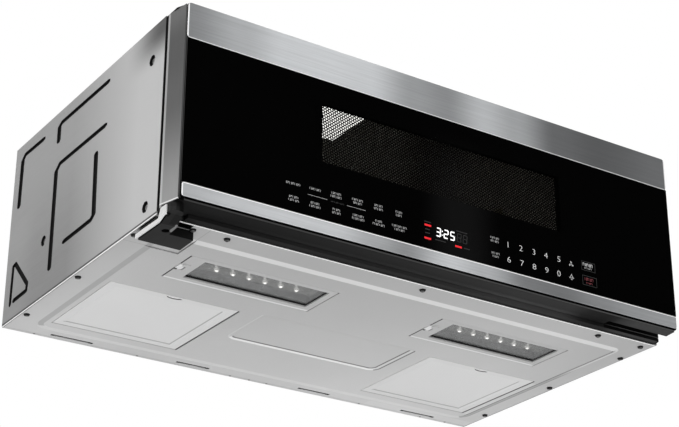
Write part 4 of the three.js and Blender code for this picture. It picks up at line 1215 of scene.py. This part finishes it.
def makeDiodes(glow):
    r, h = diode["radius"], diode["height"]
    dome = [(0, h)] + [(r * across, h * up) for across, up in diode["dome"]] + [(r, 0), (0, 0)]
    for side, middle in lampMiddles.items():
        for index in range(ledRow["count"]):
            x = middle + diode["aside"] + (index - 2.5) * ledRow["pitch"]
            bm = hung(dome, 16, (x, ledRow["y"], diode["top"]))
            addPiece(bm, "diode_%s_%d" % (side, index + 1), "case", glow)


clip = {
    "aside": -101.3, "y": 114.5, "top": -1.5, "wide": 8.0, "long": 15.0, "tall": 1.1, "round": 3.5,
    "dot": (-2.3, 6.6), "dotOutline": [(0, 0.3), (1.5, 0.3), (1.9, 0), (0, 0)],
}


# A pale clip with a dark eye holds the left end of each lamp cover.
def makeClips(paint, eye):
    for side, middle in lampMiddles.items():
        bm = bmesh.new()
        x, y, low = middle + clip["aside"], clip["y"], clip["top"] - clip["tall"]
        block(bm, (x - clip["wide"] / 2, y - clip["long"] / 2, low),
              (x + clip["wide"] / 2, y + clip["long"] / 2, clip["top"] - 0.02))
        upright = [e for e in bm.edges if abs(e.verts[0].co.z - e.verts[1].co.z) > 0.5]
        roundBevel(bm, upright, clip["round"], 5)
        roundBevel(bm, [e for e in bm.edges if all(v.co.z < -2.5 for v in e.verts)], 0.4, 2)
        addPiece(toFrame(bm), "lamp_clip_" + side, "lamp_cover_" + side, paint)
        dot = hung(clip["dotOutline"], 20, (x + clip["dot"][0], y + clip["dot"][1], low - 0.02))
        addPiece(dot, "clip_eye_" + side, "lamp_cover_" + side, eye)


slotShade = {
    "long": 5.6, "deep": 5.0, "low": 0.25, "high": 1.15, "y": 417.5, "play": 0.05, "round": 0.15,
    "slots": [(-315, -253.5), (-126, -74), (72.5, 126), (252.6, 314)],
}


# Black blocks fill both ends of each slot for the wall plate's hooks, as painted shade in the slots.
def makeSlotShades(shadeBlack):
    near, far = slotShade["y"] - slotShade["deep"] / 2, slotShade["y"] + slotShade["deep"] / 2
    for index, (start, end) in enumerate(slotShade["slots"]):
        bm = bmesh.new()
        for x in (start + slotShade["play"], end - slotShade["long"] - slotShade["play"]):
            block(bm, (x, near, slotShade["low"]), (x + slotShade["long"], far, slotShade["high"]))
        roundBevel(bm, bm.edges[:], slotShade["round"], 2)
        addPiece(toFrame(bm), "slot_shade_%d" % (index + 1), "case", shadeBlack)


spring = {"x": 243, "y": -20, "foot": 215.2, "rise": 20.0, "radius": 5.0, "wire": 0.6, "wireSides": 12,
          "turns": 3.5, "steps": 126, "squeezed": 0.76}


# The latch spring is a coil of round wire, on the door.
def makeSpring(steel):
    bm = bmesh.new()
    sides = spring["wireSides"]
    ring = bmesh.ops.create_circle(bm, cap_ends=False, segments=sides, radius=spring["wire"])["verts"]
    turnBy(bm, quarterTurn, "X", ring)
    moveBy(bm, (spring["radius"], 0, 0), ring)
    climb = (0, 0, spring["rise"] / spring["steps"])
    bmesh.ops.spin(bm, geom=bm.verts[:] + bm.edges[:], cent=zero, axis=(0, 0, 1), dvec=climb,
                   angle=2 * math.pi * spring["turns"], steps=spring["steps"], use_merge=False)
    bmesh.ops.holes_fill(bm, edges=[e for e in bm.edges if e.is_boundary], sides=sides)
    moveBy(bm, (spring["x"], spring["y"], spring["foot"]))
    coil = addPiece(toFrame(bm), "latch_coil", "door", steel)
    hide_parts("latch_spring")
    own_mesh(coil)


# The world is white to the eye. Gloss sees it too, except where a black card keeps the door glass dark.
def makeWorld():
    world = bpy.data.worlds.new("studioWorld")
    scene.world = world
    openTree(world)
    setup = {"operation": "DOT_PRODUCT"}
    place = put("TexCoord").outputs["Generated"]
    facing = put("VectorMath", setup, n0=place, n1=studio["cardFacing"]).outputs["Value"]
    gloss = span(facing, *studio["cardEdge"], studio["glossy"], studio["cardTone"])
    path = put("LightPath").outputs
    glossy = most(path["Is Glossy Ray"], path["Is Transmission Ray"])
    level = put("Mix", {"data_type": "FLOAT"}, n0=glossy, n2=studio["fill"], n3=gloss).outputs[0]
    seen = put("Mix", {"data_type": "FLOAT"}, n0=path["Is Camera Ray"], n2=level, n3=1.0).outputs[0]
    back = put("Background", None, Color=(1, 1, 1, 1), Strength=seen)
    wire(back.outputs[0], put("OutputWorld").inputs[0])


# A wide pale floor, see-through from below. Away from the part the eye sees it as white as the world.
def makeFloor():
    bm = bmesh.new()
    bmesh.ops.create_grid(bm, x_segments=8, y_segments=8, size=studio["floorSize"])
    moveBy(bm, (0, 0, studio["floorDrop"]))
    floor = linked("studioFloor", meshFrom(bm, "studioFloor"))
    material = bpy.data.materials.new("floorPaint")
    openTree(material)
    cloud = useGroup(mottle, Scale=1.2, Contrast=0.4)["Tone"]
    tones = [(studio["floorTone"] + more,) * 3 + (1,) for more in (0, 0.03)]
    paint = put("BsdfPrincipled", None, Base_Color=blend(cloud, *tones), Roughness=0.8).outputs[0]
    x, y, z = axes()
    seen = both(span(reach(x, y), *studio["floorFade"]), put("LightPath").outputs["Is Camera Ray"])
    white = put("Emission", None, Color=(1, 1, 1, 1), Strength=1.0).outputs[0]
    shown = put("MixShader", None, n0=seen, n1=paint, n2=white).outputs[0]
    through = put("BsdfTransparent").outputs[0]
    fromBelow = put("NewGeometry").outputs["Backfacing"]
    mixed = put("MixShader", None, n0=fromBelow, n1=shown, n2=through).outputs[0]
    wire(mixed, put("OutputMaterial").inputs[0])
    floor.data.materials.append(material)


def makeInk(name, dark, light, **glow):
    return makeFinish(name, look(dark, light, 0.5, 0.6, pebble=2000.0, grain=0.05, dust=0.0, **glow))


makeCamera()
makeLamps()
makeWorld()
makeFloor()
scene.view_settings.view_transform = "Standard"
print("camera, lamps and floor set")
dressNodes()
print("nodes dressed")
makeScrews()
print("screws set")
ink, paleInk = makeInk("whiteInk", "dcdcdc", "e8e8e8"), makeInk("paleInk", "a8a8a8", "b4b4b4")
redInk, dimInk = makeInk("redInk", "74343a", "844248"), makeInk("dimInk", "2c2c2c", "363636")
makeKeypad(ink, paleInk, redInk, dimInk)
whiteGlow = makeInk("clockGlow", "f0f0f0", "ffffff", glow="ffffff", strength=0.6)
redGlow = makeInk("markGlow", "c01820", "d82028", glow="e0101c", strength=0.5)
makeClock(whiteGlow, redGlow, makeInk("clockUnlit", "222222", "2c2c2c"))
print("keypad and clock printed")
makeDiodes(makeInk("diodeGlow", "f4f4f0", "ffffff", glow="fffefa", strength=2.2))
clipLook = look("e2e2e2", "eeeeee", 0.35, 0.45, pebble=1400.0, grain=0.02, dust=0.0)
makeClips(makeFinish("clipPaint", clipLook), makeInk("clipEye", "080808", "0c0c0c"))
# the blocks at the slot ends are black as painted shade
slotShadeLook = look("060606", "0a0a0a", 0.7, 0.85, pebble=1200.0, bump=0.1, dust=0.0, specular=0.1)
makeSlotShades(makeFinish("slotShadeBlack", slotShadeLook))
makeSpring(makeFinish("springWire", looks["wire"]))
print("diodes, clips, slotShades and spring set")
